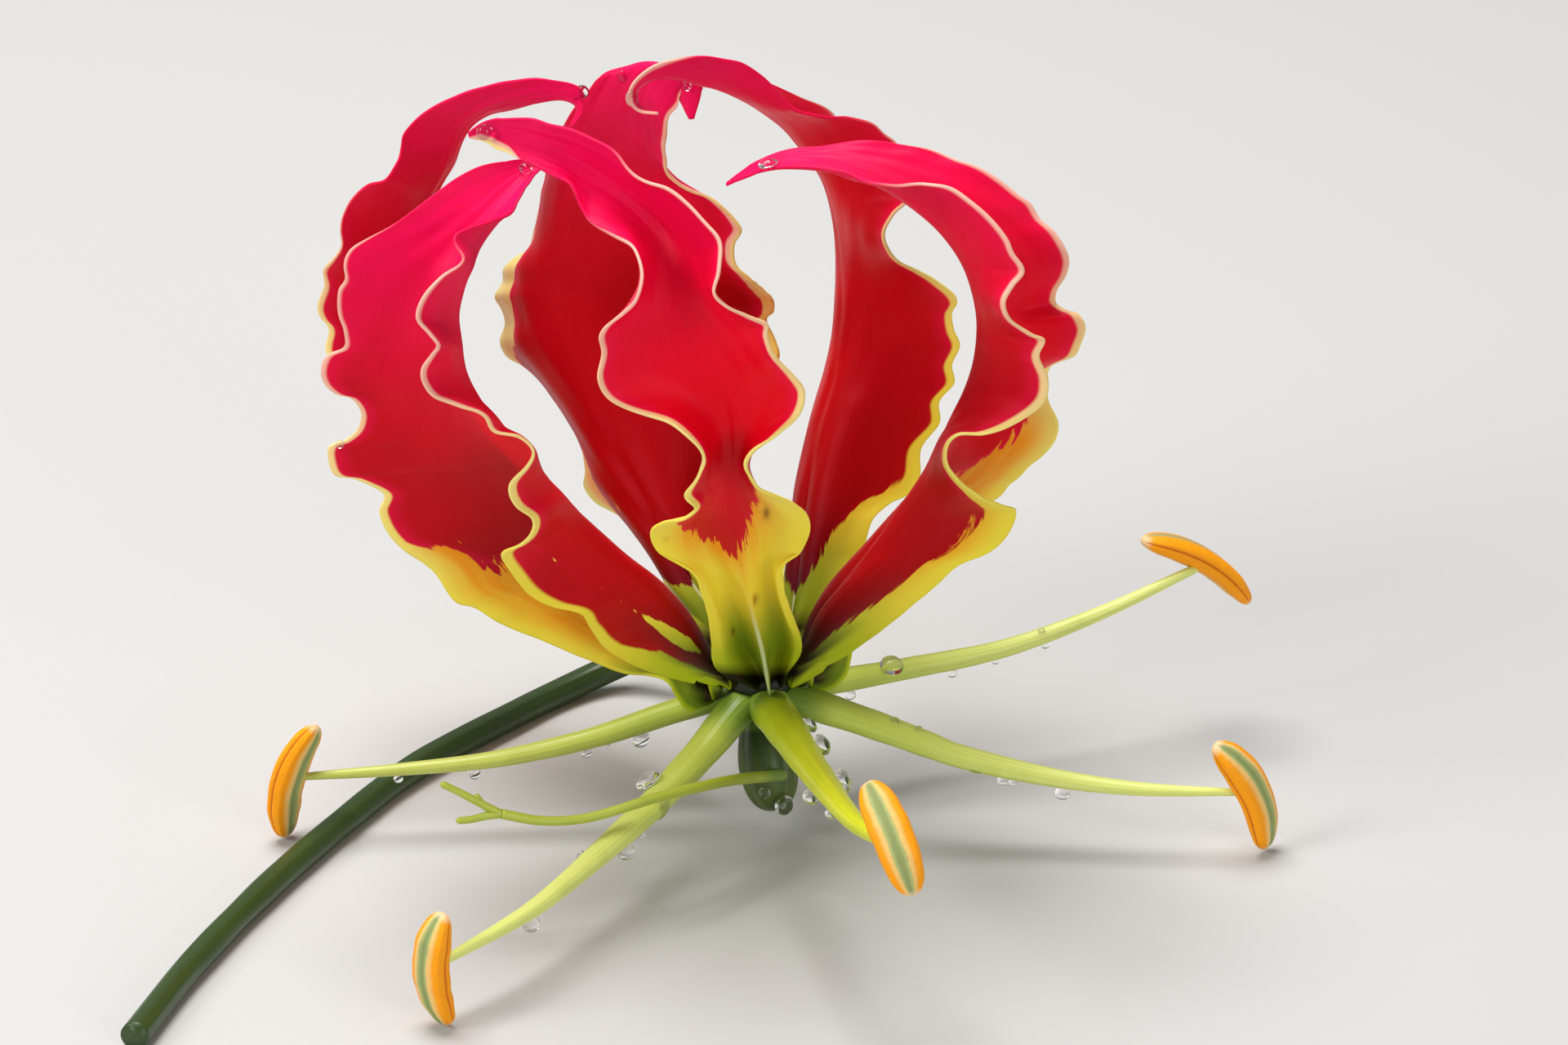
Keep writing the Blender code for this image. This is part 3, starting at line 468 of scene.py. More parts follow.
def plain_sheet(rib, rails):
    """The middle of the blade between its margins, whose ruffles die out toward the midrib."""
    calm = [soften(rail) for rail in rails]
    columns = []
    for v in ACROSS:
        side = 0 if v < 0 else 1
        line = rib + v * (calm[1] - calm[0]) / 2 + v * v * ((calm[0] + calm[1]) / 2 - rib)
        columns.append(line + (rails[side] - calm[side]) * abs(v) ** RUFFLE_POWER)
    return np.array(columns).transpose(1, 0, 2)


def blade_relief(seed, keel, groove):
    """How far the blade's surface stands off its plain sheet: a crisped margin, soft buckles, a
    groove down each half of the foot, and the midrib with its keel."""
    far_out = np.abs(ACROSS)
    ends = fade(np.minimum(ALONG, 1.0 - ALONG), 0.0, QUIET_ENDS)[:, None]
    crisp_near, crisp_far = (ripple(ALONG, seed + more, CRISP_WAVES)[:, None] for more in (0, 10))
    relief = CRISP * far_out ** CRISP_POWER * np.where(FAR_HALF, crisp_far, crisp_near) * ends
    relief += BUCKLE * ripple(ALONG[:, None] + BUCKLE_SLANT * ACROSS, seed + 5, BUCKLE_WAVES) * ends
    groove_across = np.sin(pi * np.minimum(far_out * GROOVE_REACH, 1.0)) ** 2
    relief -= groove * groove_across * np.interp(ALONG, *GROOVE_ALONG)[:, None]
    relief += keel * np.exp(-((ACROSS / KEEL_WIDTH) ** 2)) * np.interp(ALONG, *KEEL_ALONG)[:, None]
    return relief + RIB_HEIGHT * np.exp(-((ACROSS / RIB_WIDTH) ** 2)) * ends


def sheet_faces(rows, cols, turned):
    """The faces of a closed sheet: upper face, lower face, and the rim that joins them."""
    under = rows * cols
    faces = []
    for i in range(rows - 1):
        for j in range(cols - 1):
            a, b = i * cols + j, i * cols + j + 1
            c, d = b + cols, a + cols
            if turned:
                a, b, c, d = b, a, d, c
            faces.append((a, d, c, b))
            faces.append((under + a, under + b, under + c, under + d))
    rim = [i * cols for i in range(rows)]
    rim += [(rows - 1) * cols + j for j in range(1, cols)]
    rim += [i * cols + cols - 1 for i in range(rows - 2, -1, -1)]
    rim += [j for j in range(cols - 2, 0, -1)]
    for a, b in zip(rim, rim[1:] + rim[:1]):
        faces.append((b, under + b, under + a, a) if turned else (a, under + a, under + b, b))
    return faces


def add_petal(name, seed, midrib, near, far, half_widths, near_side, far_side, gold_near, gold_far,
              keel=0.3, groove=0.8, far_pouch=False, far_amber=False, dark_below=None, dark_from=0.0,
              vein=None, deep=(0.0, 0.0, 0.45, 0.45), marks=()):
    """One petal.  near and far are its margins, nearer the eye and farther, and the sides say which
    way each stands.  gold_near and gold_far list how wide the yellow is there, in millimetres, as
    pairs of (share along, width).  keel and groove are heights at the foot.  far_pouch makes the
    far side of the foot a green pouch, and far_amber makes the yellow of that side warmer.  Below
    the height dark_below, as seen, the whole foot is painted shade; up to the share dark_from its
    middle is painted shade too.
    vein is the two ends, as seen, of a yellow vein on the near half.  deep says how much the red is
    darkened, partly the petal's own deeper red and partly painted shade: on the open face's near and
    far half, then on the back's.  marks are brown flecks, where they are seen: (right, up, size)."""
    rib = smooth_line([place(*p) for p in midrib], PETAL_STATIONS)
    claws = [(CLAW_SHARE, CLAW_HALF_WIDTH), (CLAW_SHARE, CLAW_HALF_WIDTH)]
    if far_pouch:
        claws = [(CLAW_SHARE, POINTED_HALF_WIDTH), (POUCH_CLAW_SHARE, CLAW_HALF_WIDTH)]
    rails = []
    for seen, side, claw in ((near, near_side, claws[0]), (far, far_side, claws[1])):
        rail = smooth_line(margin_rail(seen, rib, half_widths, side), PETAL_STATIONS)
        rails.append(settle_ends(rail, rib, *claw))
    grid = plain_sheet(rib, rails)
    rows, cols = grid.shape[:2]
    normal = np.cross(np.gradient(grid, axis=0), np.gradient(grid, axis=1))
    normal /= np.maximum(np.linalg.norm(normal, axis=2, keepdims=True), 1e-9)
    inside = (rails[0] + rails[1]) / 2 - rib
    flip = np.sign((normal[:, PETAL_STEPS_ACROSS // 2] * inside).sum(axis=1).mean())
    normal *= flip
    grid = grid + normal * blade_relief(seed, keel, groove)[:, :, None]
    thick = MARGIN_THICKNESS + (PETAL_THICKNESS - MARGIN_THICKNESS) * (1.0 - ACROSS ** 4)
    half = (np.outer(np.interp(ALONG, *THICKNESS_ALONG), thick) / 2)[:, :, None]
    points = np.vstack([(grid + normal * half).reshape(-1, 3), (grid - normal * half).reshape(-1, 3)])

    # What the skin is painted by: each number is told for every point of the sheet.
    along = ALONG[:, None]
    reach_near, reach_far = (np.linalg.norm(rail - rib, axis=1)[:, None] for rail in rails)
    wide_near, wide_far = (np.interp(along, *zip(*table)) for table in (gold_near, gold_far))
    edge = (1.0 - np.abs(ACROSS)) * np.where(FAR_HALF, reach_far, reach_near)
    gold = np.where(FAR_HALF, wide_far, wide_near) - edge
    sap = fade(along, 0.19, 0.06) * fade(edge, 0.5, 2.8)
    warm = fade(gold, 6.0, 0.3) * fade(edge, 0.4, 2.4) * fade(along, 0.13, 0.24)
    if far_pouch:
        sap = np.where(FAR_HALF, fade(along, 0.16, 0.11) * fade(edge, 0.12, 0.32), sap)
    if far_amber:
        warm = np.where(FAR_HALF, fade(edge, 0.3, 1.6) * fade(along, 0.05, 0.15), warm)
    warm = warm * fade(along, 0.47, 0.41)
    # The foot is painted dark: partly its own dark tissue, partly painted shade; the darkening below a seen
    # height and along the middle of the foot is painted shade.
    pit_shade = fade(along, 0.058, 0.032) * fade(edge, 0.35, 0.9)
    if dark_from:
        pit_shade = np.maximum(pit_shade, fade(along, dark_from, 0.45 * dark_from) * fade(edge, 0.8, 1.5))
    seen_right, seen_up = as_seen(np.moveaxis(grid, 2, 0))
    if dark_below is not None:
        pit_shade = fade(seen_up, dark_below, dark_below - FADE_BELOW)
    if vein is not None:
        (right_0, up_0), (right_1, up_1) = vein
        way_right, way_up = right_1 - right_0, up_1 - up_0
        from_right, from_up = seen_right - right_0, seen_up - up_0
        length = np.hypot(way_right, way_up)
        run = (from_right * way_right + from_up * way_up) / length**2
        off = np.abs(from_right * way_up - from_up * way_right) / length
        drawn = VEIN_WIDTH * fade(run, 0.2, 0.7) * fade(run, 1.0, 5 / 6) - off
        on_vein = (drawn > -VEIN_REACH) & ~FAR_HALF
        gold = np.where(on_vein, np.maximum(gold, VEIN_SHARPNESS * drawn), gold)
        warm = np.where(on_vein, 0.0, warm)
    fleck = np.zeros((rows, cols))
    for right, up, size in marks:
        off = np.hypot((seen_right - right) / size, (seen_up - up) / (FLECK_LENGTH * size))
        fleck = np.maximum(fleck, np.exp(-off ** 2))
    painted = {"along": along, "across": ACROSS, "edge": edge, "gold": gold, "sap": sap,
               "warm": warm, "pit_shade": pit_shade, "fleck": fleck}
    numbers = {key: np.tile(np.broadcast_to(one, (rows, cols)).ravel(), 2) for key, one in painted.items()}
    # The red is darkened on the back and on some halves: partly the petal's own deeper red, partly painted
    # shade.
    open_face, back_face = (np.tile(np.where(FAR_HALF, deep[k + 1], deep[k]), rows) for k in (0, 2))
    numbers["deep"] = np.concatenate([open_face, back_face])
    node = "petal_" + name.removesuffix("_petal")
    faces = sheet_faces(rows, cols, flip > 0)
    return add_piece(name, points, faces, numbers, petal_finish, node)


CRIMSON = (0.52, 0.0003, 0.0015)
DEEP_CRIMSON = (0.30, 0.0002, 0.0015)
# Brighter red toward the tip: painted light from above.
BRIGHT_LIT_RED = (0.80, 0.0008, 0.012)
# Pink toward the tip: painted sheen, the sky reflected in the satin.
PINK_SHEEN = (0.88, 0.004, 0.12)
CREAM = (0.96, 0.78, 0.26)
BLUSH = (0.94, 0.47, 0.37)
# Near-black wine in the channel at the foot: painted shade.
WINE_SHADE = (0.055, 0.0005, 0.006)
SAP_GREEN = (0.17, 0.27, 0.012)
RIB_GREEN = (0.66, 0.72, 0.36)
# Near-black green of the foot: painted shade over the foot's own dark tissue.
PIT_SHADE_GREEN = (0.006, 0.010, 0.002)
LEMON = (0.91, 0.76, 0.055)
AMBER = (0.91, 0.34, 0.007)
FRINGE_PINK = (0.84, 0.004, 0.07)
FLECK_BROWN = (0.16, 0.02, 0.004)
LEAF_YELLOW = (0.46, 0.56, 0.014)

petal = Finish("petal_skin", 0.38)
along, across, from_edge, gold = (petal.number(key) for key in ("along", "across", "edge", "gold"))
warmth = petal.number("warm")
fine_strokes = petal.grain(1.0, 3.0, petal.stretch(across, 26.0, along, 5.0), 0.6)
strokes = petal.grain(1.0, 5.0, petal.stretch(across, 8.0, along, 6.0), 0.66)
veins = petal.grain(1.0, 2.0, petal.stretch(across, 34.0, along, 2.5))
clouds = petal.grain(95.0, 4.0)
speckle = petal.grain(900.0, 2.0)

# The red: crimson that brightens and turns pink toward the tip, painted light and painted sheen
# from above; darker on the back and on some halves, partly its own deeper red and partly painted
# shade; in clouds and along fine veins; pinker beside the margin; and wine at the foot, painted
# shade in the channel.
red = petal.blend(petal.ramp(along, 0.15, 0.62), CRIMSON, BRIGHT_LIT_RED)
red = petal.blend(petal.times(petal.ramp(along, 0.55, 0.95), 0.85), red, PINK_SHEEN)
red = petal.blend(petal.times(petal.number("deep"), petal.ramp(along, 0.78, 0.5)), red, DEEP_CRIMSON)
red = petal.blend(petal.times(petal.ramp(clouds, 0.45, 0.75), 0.35), red, DEEP_CRIMSON)
red = petal.blend(petal.times(petal.ramp(veins, 0.52, 0.72), 0.10), red, DEEP_CRIMSON)
fringe = petal.times(petal.ramp(gold, -1.2, 0.0), petal.ramp(along, 0.26, 0.42))
red = petal.blend(petal.times(fringe, 0.5), red, FRINGE_PINK)
red = petal.blend(petal.times(petal.ramp(along, 0.24, 0.05), petal.ramp(from_edge, 0.8, 2.8)), red, WINE_SHADE)

# The yellow: lemon that pales to cream, blushes at the upper margins, turns leafy at the foot and
# amber where it meets the red.
yellow = petal.blend(petal.ramp(along, 0.28, 0.54), LEMON, CREAM)
blushed = petal.times(petal.ramp(along, 0.44, 0.70), petal.ramp(gold, 0.55, 0.2))
yellow = petal.blend(blushed, yellow, BLUSH)
yellow = petal.blend(petal.ramp(along, 0.17, 0.05), yellow, LEAF_YELLOW)
yellow = petal.blend(petal.number("sap"), yellow, SAP_GREEN)
from_rib = petal.sums("ABSOLUTE", across)
pale_rib = petal.times(petal.ramp(along, 0.21, 0.12), petal.ramp(from_rib, 0.075, 0.02))
yellow = petal.blend(pale_rib, yellow, RIB_GREEN)
amber_share = petal.times(warmth, petal.scaled(petal.ramp(strokes, 0.30, 0.60), 0.45, 0.55))
yellow = petal.blend(amber_share, yellow, AMBER)
yellow = petal.blend(petal.times(petal.number("fleck"), 0.85), yellow, FLECK_BROWN)

# Where they meet, the red runs out into the yellow in brush strokes along the blade.
brush = petal.sums("ADD", petal.scaled(strokes, 4.2, -2.1), petal.scaled(fine_strokes, 2.0, -1.0))
brush = petal.times(petal.times(brush, petal.scaled(warmth, 1.3, 0.7)), petal.ramp(from_edge, 0.3, 3.0))
is_gold = petal.ramp(petal.sums("ADD", gold, brush), -0.10, 0.12)
# The dark foot goes to near-black green: painted shade over the foot's own dark tissue.
in_pit_shade = petal.times(petal.number("pit_shade"), petal.ramp(from_rib, 0.05, 0.14))
skin = petal.blend(in_pit_shade, petal.blend(is_gold, red, yellow), PIT_SHADE_GREEN)
petal.wire(skin, petal.shader, "Base Color")
petal.wire(petal.scaled(clouds, 0.2, 0.36), petal.shader, "Roughness")
petal.bump(petal.sums("ADD", veins, petal.times(speckle, 0.2)), 0.14, 0.0002)
petal.settle({"Specular IOR Level": 0.30, "Specular Tint": (1.0, 0.30, 0.38, 1.0),
              "Subsurface Weight": 0.15, "Subsurface Radius": (1.0, 0.25, 0.15), "Subsurface Scale": 0.0008})
petal_finish = petal.material

# The thin rim that most margins share, from above the foot to the tip.
RIM_TO_TIP = [(0.45, 0.46), (0.62, 0.32), (0.78, 0.18), (0.86, -0.1), (1, -0.3)]

front_rib = [
    (0.8, 0.3, -3.6), (0.1, 4.1, -7.2), (-0.8, 7.3, -10.5), (-1.7, 11.0, -14.5), (-2.5, 17.5, -19.5),
    (-3.0, 24.5, -22.5), (-6.0, 31.8, -23.0), (-7.2, 36.0, -22.0), (-8.8, 40.0, -19.5),
    (-12.6, 43.8, -17.0), (-17.2, 46.8, -15.0), (-21.0, 48.4, -13.6), (-23.6, 48.9, -13.0),
    (-25.5, 48.5, -13.0),
]
front_near = [
    (-0.4, -0.1), (-3.8, 1.8), (-4.2, 4.0), (-4.5, 6.2), (-5.1, 8.4), (-6.0, 10.3), (-8.8, 11.9),
    (-9.6, 13.6), (-8.6, 14.6), (-6.6, 14.9), (-5.6, 15.8), (-6.5, 17.0), (-5.3, 18.8), (-4.9, 20.3),
    (-6.1, 22.1), (-8.1, 23.4), (-10.9, 24.2), (-13.3, 25.4), (-14.2, 27.2), (-13.8, 29.3),
    (-14.0, 31.1), (-12.1, 32.8), (-10.8, 34.0), (-10.3, 35.7), (-10.6, 37.8), (-11.4, 39.0),
    (-13.2, 39.9), (-14.9, 40.9), (-15.7, 42.2), (-16.6, 44.1), (-19.0, 45.4), (-21.8, 46.8),
    (-23.8, 47.8), (-25.5, 48.4),
]
front_far = [
    (1.4, -0.1), (2.7, 1.8), (3.6, 3.3), (3.5, 4.8), (2.7, 6.8), (2.0, 9.1), (2.1, 11.0), (3.6, 12.1),
    (4.4, 14.0), (3.9, 15.5), (2.1, 16.7), (-0.1, 17.6), (-1.3, 19.4), (-0.6, 20.9), (1.4, 22.1),
    (3.3, 23.9), (3.9, 26.0), (2.9, 27.5), (1.4, 29.0), (0.6, 30.9), (0.6, 32.0), (-1.1, 32.6),
    (-3.1, 33.6), (-4.1, 34.7), (-3.6, 36.6), (-3.5, 38.9), (-4.5, 40.6), (-6.3, 42.6), (-8.0, 43.8),
    (-10.9, 44.9), (-12.5, 46.8), (-14.0, 47.9), (-16.4, 48.9), (-18.4, 49.4), (-20.2, 49.9),
    (-23.4, 49.8), (-25.4, 48.7),
]
front_widths = [1.0, 4.2, 5.8, 7.5, 7.5, 7.5, 7.0, 5.5, 3.0, 0.4]
add_petal(
    "front_petal", 100, front_rib, front_near, front_far, front_widths, 1, 1,
    gold_near=[(0, 9), (0.24, 9), (0.29, 6), (0.325, 3.6), (0.355, 1.2), (0.38, 0.5), *RIM_TO_TIP[:4],
               (0.945, -0.1), (0.955, 0.6), (0.985, 0.7), (1, 0.0)],
    gold_far=[(0, 9), (0.26, 9), (0.31, 7), (0.345, 5.2), (0.375, 3.4), (0.395, 1.4), (0.42, 0.5),
              *RIM_TO_TIP],
    keel=1.5, groove=1.9, dark_below=2.5,
    marks=[(-0.4, 8.1, 0.24), (-2.4, 5.2, 0.18), (0.6, 15.6, 0.3), (-8.3, 13.3, 0.12)])

front_left_rib = [
    (-3.0, 0.4, -1.8), (-4.3, 3.2, -3.0), (-6.1, 6.2, -4.2), (-8.5, 8.6, -5.4), (-12.1, 11.6, -7.4),
    (-16.3, 15.2, -9.6), (-20.6, 19.1, -12.0), (-24.3, 22.9, -13.8), (-26.4, 27.5, -15.0),
    (-27.1, 32.2, -15.4), (-26.7, 35.1, -15.0), (-25.9, 37.4, -14.2), (-23.9, 40.8, -12.4),
    (-21.0, 44.6, -10.0), (-19.0, 45.9, -8.8),
]
front_left_near = [
    (-2.9, 0.7), (-4.3, 0.4), (-6.1, 0.6), (-9.7, 1.6), (-13.3, 3.4), (-14.8, 5.3), (-15.7, 6.6),
    (-18.1, 7.2), (-20.2, 8.3), (-21.7, 10.1), (-22.6, 11.7), (-21.4, 12.5), (-20.1, 13.4),
    (-19.9, 14.9), (-21.4, 16.1), (-21.9, 17.9), (-20.5, 19.4), (-19.9, 20.9), (-21.1, 22.2),
    (-23.2, 22.6), (-24.1, 23.9), (-26.1, 24.8), (-28.4, 25.5), (-29.5, 26.8), (-29.6, 28.0),
    (-28.8, 29.3), (-28.2, 30.1), (-28.9, 31.1), (-29.9, 32.2), (-29.9, 33.2), (-29.2, 34.6),
    (-27.9, 36.1), (-26.4, 37.1), (-26.0, 37.9), (-26.7, 39.4), (-26.1, 40.1), (-24.0, 40.8),
    (-21.9, 41.6), (-21.1, 42.9), (-20.3, 44.4), (-19.0, 45.7),
]
front_left_far = [
    (-3.1, -0.4, -1.3), (-3.6, -1.2, -1.4), (-4.4, -1.9, -1.6), (-5.5, -2.1, -1.8), (-6.6, -1.6, -2.1),
    (-7.5, -0.4, -2.5), (-8.2, 0.7, -3.0), (-9.8, 1.2), (-12.1, 1.5), (-15.7, 2.9), (-19.3, 4.4),
    (-22.3, 5.6), (-25.0, 7.2), (-26.8, 7.8), (-28.6, 10.4), (-31.0, 12.1), (-32.5, 13.6),
    (-33.3, 15.5), (-32.9, 17.1), (-35.2, 18.4), (-37.2, 18.8), (-37.8, 20.3), (-37.6, 21.3),
    (-36.4, 21.7), (-35.2, 22.7), (-34.9, 24.2), (-35.7, 25.5), (-37.1, 25.9), (-38.1, 26.8),
    (-38.4, 27.9), (-37.9, 29.2), (-36.4, 29.9), (-36.4, 31.4), (-36.9, 32.9), (-36.9, 34.8),
    (-36.3, 35.9), (-36.4, 37.3), (-35.8, 38.5), (-34.2, 39.5), (-31.7, 40.9), (-28.4, 43.4),
    (-26.1, 45.0), (-24.0, 45.9), (-21.1, 46.3), (-19.0, 46.1),
]
front_left_widths = [1.0, 5.0, 8.0, 9.5, 9.5, 9.0, 8.5, 8.0, 4.5, 0.4]
add_petal(
    "front_left_petal", 120, front_left_rib, front_left_near, front_left_far, front_left_widths, 1, -1,
    gold_near=[(0, 1.0), (0.05, 1.5), (0.11, 1.3), (0.15, 0.6), (0.21, 0.4), (0.3, 0.5), *RIM_TO_TIP],
    gold_far=[(0, 9), (0.2, 9), (0.26, 6.5), (0.31, 4.6), (0.36, 2.4), (0.41, 0.5), *RIM_TO_TIP],
    groove=1.5, far_pouch=True, far_amber=True, dark_from=0.12, vein=((-14.2, 9.0), (-4.9, 3.1)),
    deep=(0.0, 0.5, 0.1, 0.6))

back_left_rib = [
    (-2.9, 2.4, 2.0), (-7.0, 5.8, 4.0), (-12.0, 9.8, 6.8), (-17.0, 14.2, 9.8), (-22.0, 19.2, 12.6),
    (-26.4, 24.4, 15.0), (-29.0, 30.0, 17.0), (-30.5, 34.8, 17.6), (-30.5, 38.5, 17.4),
    (-29.6, 41.5, 17.0), (-28.4, 43.7, 16.4), (-27.1, 45.9, 15.6), (-26.2, 48.2, 14.6),
    (-25.2, 49.6, 13.6), (-23.6, 50.5, 12.6), (-21.8, 50.9, 11.6), (-19.5, 51.5, 10.4),
    (-17.2, 51.7, 9.4), (-15.9, 50.9, 8.8), (-16.6, 49.2, 8.4),
]
back_left_near = [
    (-3.3, 1.9), (-8.0, 4.4), (-14.0, 8.0), (-20.0, 12.5), (-26.0, 17.5), (-30.5, 21.5), (-33.5, 24.0),
    (-35.8, 27.0), (-37.9, 29.4), (-37.7, 31.5), (-38.4, 32.5), (-38.7, 33.6), (-38.1, 35.4),
    (-38.2, 36.7), (-37.4, 37.6), (-36.6, 38.8), (-36.7, 40.2), (-36.5, 41.4), (-35.6, 43.0),
    (-34.2, 44.1), (-32.7, 44.7), (-31.7, 46.2), (-31.4, 47.5), (-31.1, 48.7), (-29.4, 50.4),
    (-26.6, 51.9), (-23.5, 52.9), (-20.1, 53.4), (-18.1, 53.3), (-15.9, 52.7), (-15.1, 51.2),
    (-15.9, 49.7), (-16.5, 49.1),
]
back_left_far = [
    (-3.0, 3.0), (-8.7, 7.6), (-13.2, 10.8), (-17.8, 14.4), (-22.2, 18.9), (-26.2, 23.0), (-28.2, 28.0),
    (-29.6, 33.0), (-30.8, 37.5), (-31.0, 42.0), (-30.0, 46.0), (-28.0, 47.5), (-28.0, 49.5),
    (-25.5, 51.0), (-22.5, 51.6), (-19.5, 52.2), (-17.2, 52.3), (-16.4, 50.7), (-16.7, 49.2),
]
back_left_widths = [1.0, 5.0, 8.0, 9.0, 9.0, 8.5, 7.5, 5.5, 3.0, 0.4]
add_petal(
    "back_left_petal", 140, back_left_rib, back_left_near, back_left_far, back_left_widths, 1, -1,
    gold_near=[(0, 9), (0.15, 6), (0.3, 2), (0.42, 0.4), (0.56, 0.32), (0.62, 0.05), (0.7, -0.1), (1, -0.3)],
    gold_far=[(0, 9), (0.15, 6), (0.3, 2), (0.42, 0.4), (0.6, 0.1), (0.7, -0.1), (1, -0.3)])

back_rib = [
    (-1.8, 3.2, 4.2), (-4.5, 7.3, 7.2), (-7.8, 12.2, 10.8), (-12.1, 20.4, 15.4), (-15.0, 28.2, 18.4),
    (-16.1, 35.4, 19.6), (-15.4, 41.8, 19.0), (-13.4, 46.8, 17.2), (-11.8, 50.4, 15.4),
    (-10.6, 53.0, 13.8), (-8.6, 54.3, 12.6), (-6.6, 53.0, 11.8), (-6.0, 49.9, 11.2),
]
back_near = [
    (-2.3, 2.9), (-5.2, 5.6), (-8.2, 9.1), (-8.6, 11.6), (-9.9, 13.6), (-11.9, 15.2), (-14.1, 16.2),
    (-15.4, 17.7), (-15.2, 19.3), (-15.1, 22.1), (-16.6, 24.5), (-17.6, 25.7), (-19.2, 27.4),
    (-21.1, 28.6), (-22.2, 29.3), (-22.7, 30.4), (-22.2, 31.9), (-22.5, 33.3), (-23.1, 34.4),
    (-22.4, 35.6), (-22.4, 36.8), (-21.5, 37.6), (-19.9, 38.3), (-19.4, 40.0), (-19.1, 41.8),
    (-18.9, 44.1), (-18.0, 47.5), (-16.6, 50.4), (-15.0, 52.4), (-14.1, 53.5), (-12.5, 54.2),
    (-10.2, 54.8), (-8.4, 54.6), (-7.6, 53.0), (-6.2, 50.0),
]
back_far = [
    (-1.4, 3.6), (-2.4, 8.0), (-3.2, 13.0), (-3.4, 18.0), (-2.0, 22.5), (0.2, 26.0), (1.6, 28.8),
    (1.4, 30.4), (0.6, 32.3), (1.2, 33.1), (1.0, 34.4), (-0.7, 35.7), (-2.1, 37.3), (-2.2, 38.9),
    (-1.6, 40.2), (-2.8, 41.8), (-4.1, 42.9), (-5.9, 43.5), (-7.9, 44.8), (-8.3, 46.6), (-8.3, 48.4),
    (-8.1, 49.9), (-7.2, 51.0), (-7.0, 52.0), (-6.3, 53.0), (-5.0, 53.0), (-5.8, 50.0),
]
back_widths = [1.0, 5.0, 8.0, 10.0, 10.5, 10.0, 8.0, 5.0, 2.6, 0.4]
add_petal(
    "back_petal", 160, back_rib, back_near, back_far, back_widths, -1, -1,
    gold_near=[(0, 9), (0.08, 6), (0.15, 2), (0.20, 0.8), (0.24, 4.6), (0.32, 4.6), (0.35, 0.8), (0.43, 1.2),
               (0.47, 3.3), (0.6, 3.3), (0.7, 0.3), (0.8, 0.0), (1, -0.3)],
    gold_far=[(0, 9), (0.08, 6), (0.15, 2), (0.3, 1.3), (0.42, 0.9), (0.55, 0.7), (0.66, 0.6), (0.76, 0.4),
              (0.9, 0.3), (1, -0.3)],
    deep=(0.3, 0.3, 0.6, 0.6))

back_right_rib = [
    (2.2, 3.0, 3.6), (2.8, 6.6, 6.2), (3.4, 11.0, 9.2), (4.0, 16.3, 12.0), (5.1, 22.4, 14.5),
    (6.4, 27.4, 16.0), (7.0, 31.0, 16.8), (7.2, 34.2, 17.0), (7.1, 37.5, 17.0), (6.7, 40.8, 16.5),
    (5.9, 43.9, 15.5), (4.9, 45.8, 14.6), (3.4, 47.7, 13.2), (2.1, 49.2, 12.0), (0.1, 50.7, 10.6),
    (-1.6, 51.7, 8.6), (-3.4, 52.5, 6.8), (-5.2, 53.0, 5.0), (-6.9, 53.5, 3.6), (-8.4, 53.6, 2.6),
    (-9.8, 53.3, 1.8), (-10.8, 52.5, 1.2), (-11.1, 51.6, 0.8), (-10.4, 50.7, 0.4), (-8.9, 50.4, 0.0),
]
back_right_near = [
    (2.6, 2.6), (5.0, 5.0), (7.6, 8.4), (9.0, 11.2), (9.2, 12.6), (9.9, 14.9), (11.4, 16.3),
    (13.1, 17.1), (14.0, 18.6), (14.1, 21.1), (15.7, 23.3), (15.7, 25.2), (17.0, 26.8), (16.8, 28.4),
    (17.5, 30.1), (17.0, 31.4), (16.8, 32.9), (17.2, 34.2), (15.2, 35.9), (13.1, 36.9), (11.5, 38.1),
    (10.9, 39.9), (11.7, 41.6), (13.0, 42.9), (13.2, 45.2), (12.1, 47.6), (10.9, 48.6), (9.8, 49.5),
    (7.8, 49.9), (5.6, 50.1), (3.4, 50.6), (2.1, 51.6), (1.1, 52.8), (0.1, 53.7), (-1.6, 54.8),
    (-3.4, 55.2), (-5.2, 55.4), (-6.9, 55.2), (-8.7, 54.8), (-10.1, 54.1), (-11.1, 53.1), (-11.5, 52.0),
    (-11.3, 51.0), (-10.4, 50.2), (-9.0, 50.2),
]
back_right_far = [
    (2.4, 3.4), (4.6, 9.5), (5.6, 15.0), (7.0, 20.0), (8.2, 26.0), (9.6, 31.0), (9.4, 36.0),
    (9.6, 40.5), (8.6, 44.5), (7.6, 48.0), (6.2, 50.6), (3.6, 51.8), (1.4, 52.8), (-1.0, 53.8),
    (-3.6, 54.2), (-6.0, 54.4), (-8.4, 54.3), (-10.2, 53.4), (-10.9, 52.2), (-10.7, 51.2), (-9.0, 50.6),
]
back_right_widths = [1.0, 5.0, 8.5, 10.5, 10.5, 9.5, 7.0, 4.0, 2.2, 0.4]
add_petal(
    "back_right_petal", 180, back_right_rib, back_right_near, back_right_far, back_right_widths, 1, -1,
    gold_near=[(0, 5), (0.08, 3.2), (0.13, 2.5), (0.18, 1.7), (0.22, 0.9), (0.28, 0.5), (0.45, 0.4),
               (0.6, 0.1), (0.72, -0.1), (0.88, -0.1), (0.92, 0.22), (1, 0.22)],
    gold_far=[(0, 5), (0.08, 3.0), (0.16, 2.0), (0.24, 1.0), (0.34, 0.5), (0.5, 0.26), (0.7, 0.1),
              (0.8, -0.2), (1, -0.3)],
    deep=(0.0, 0.0, 0.25, 0.25))

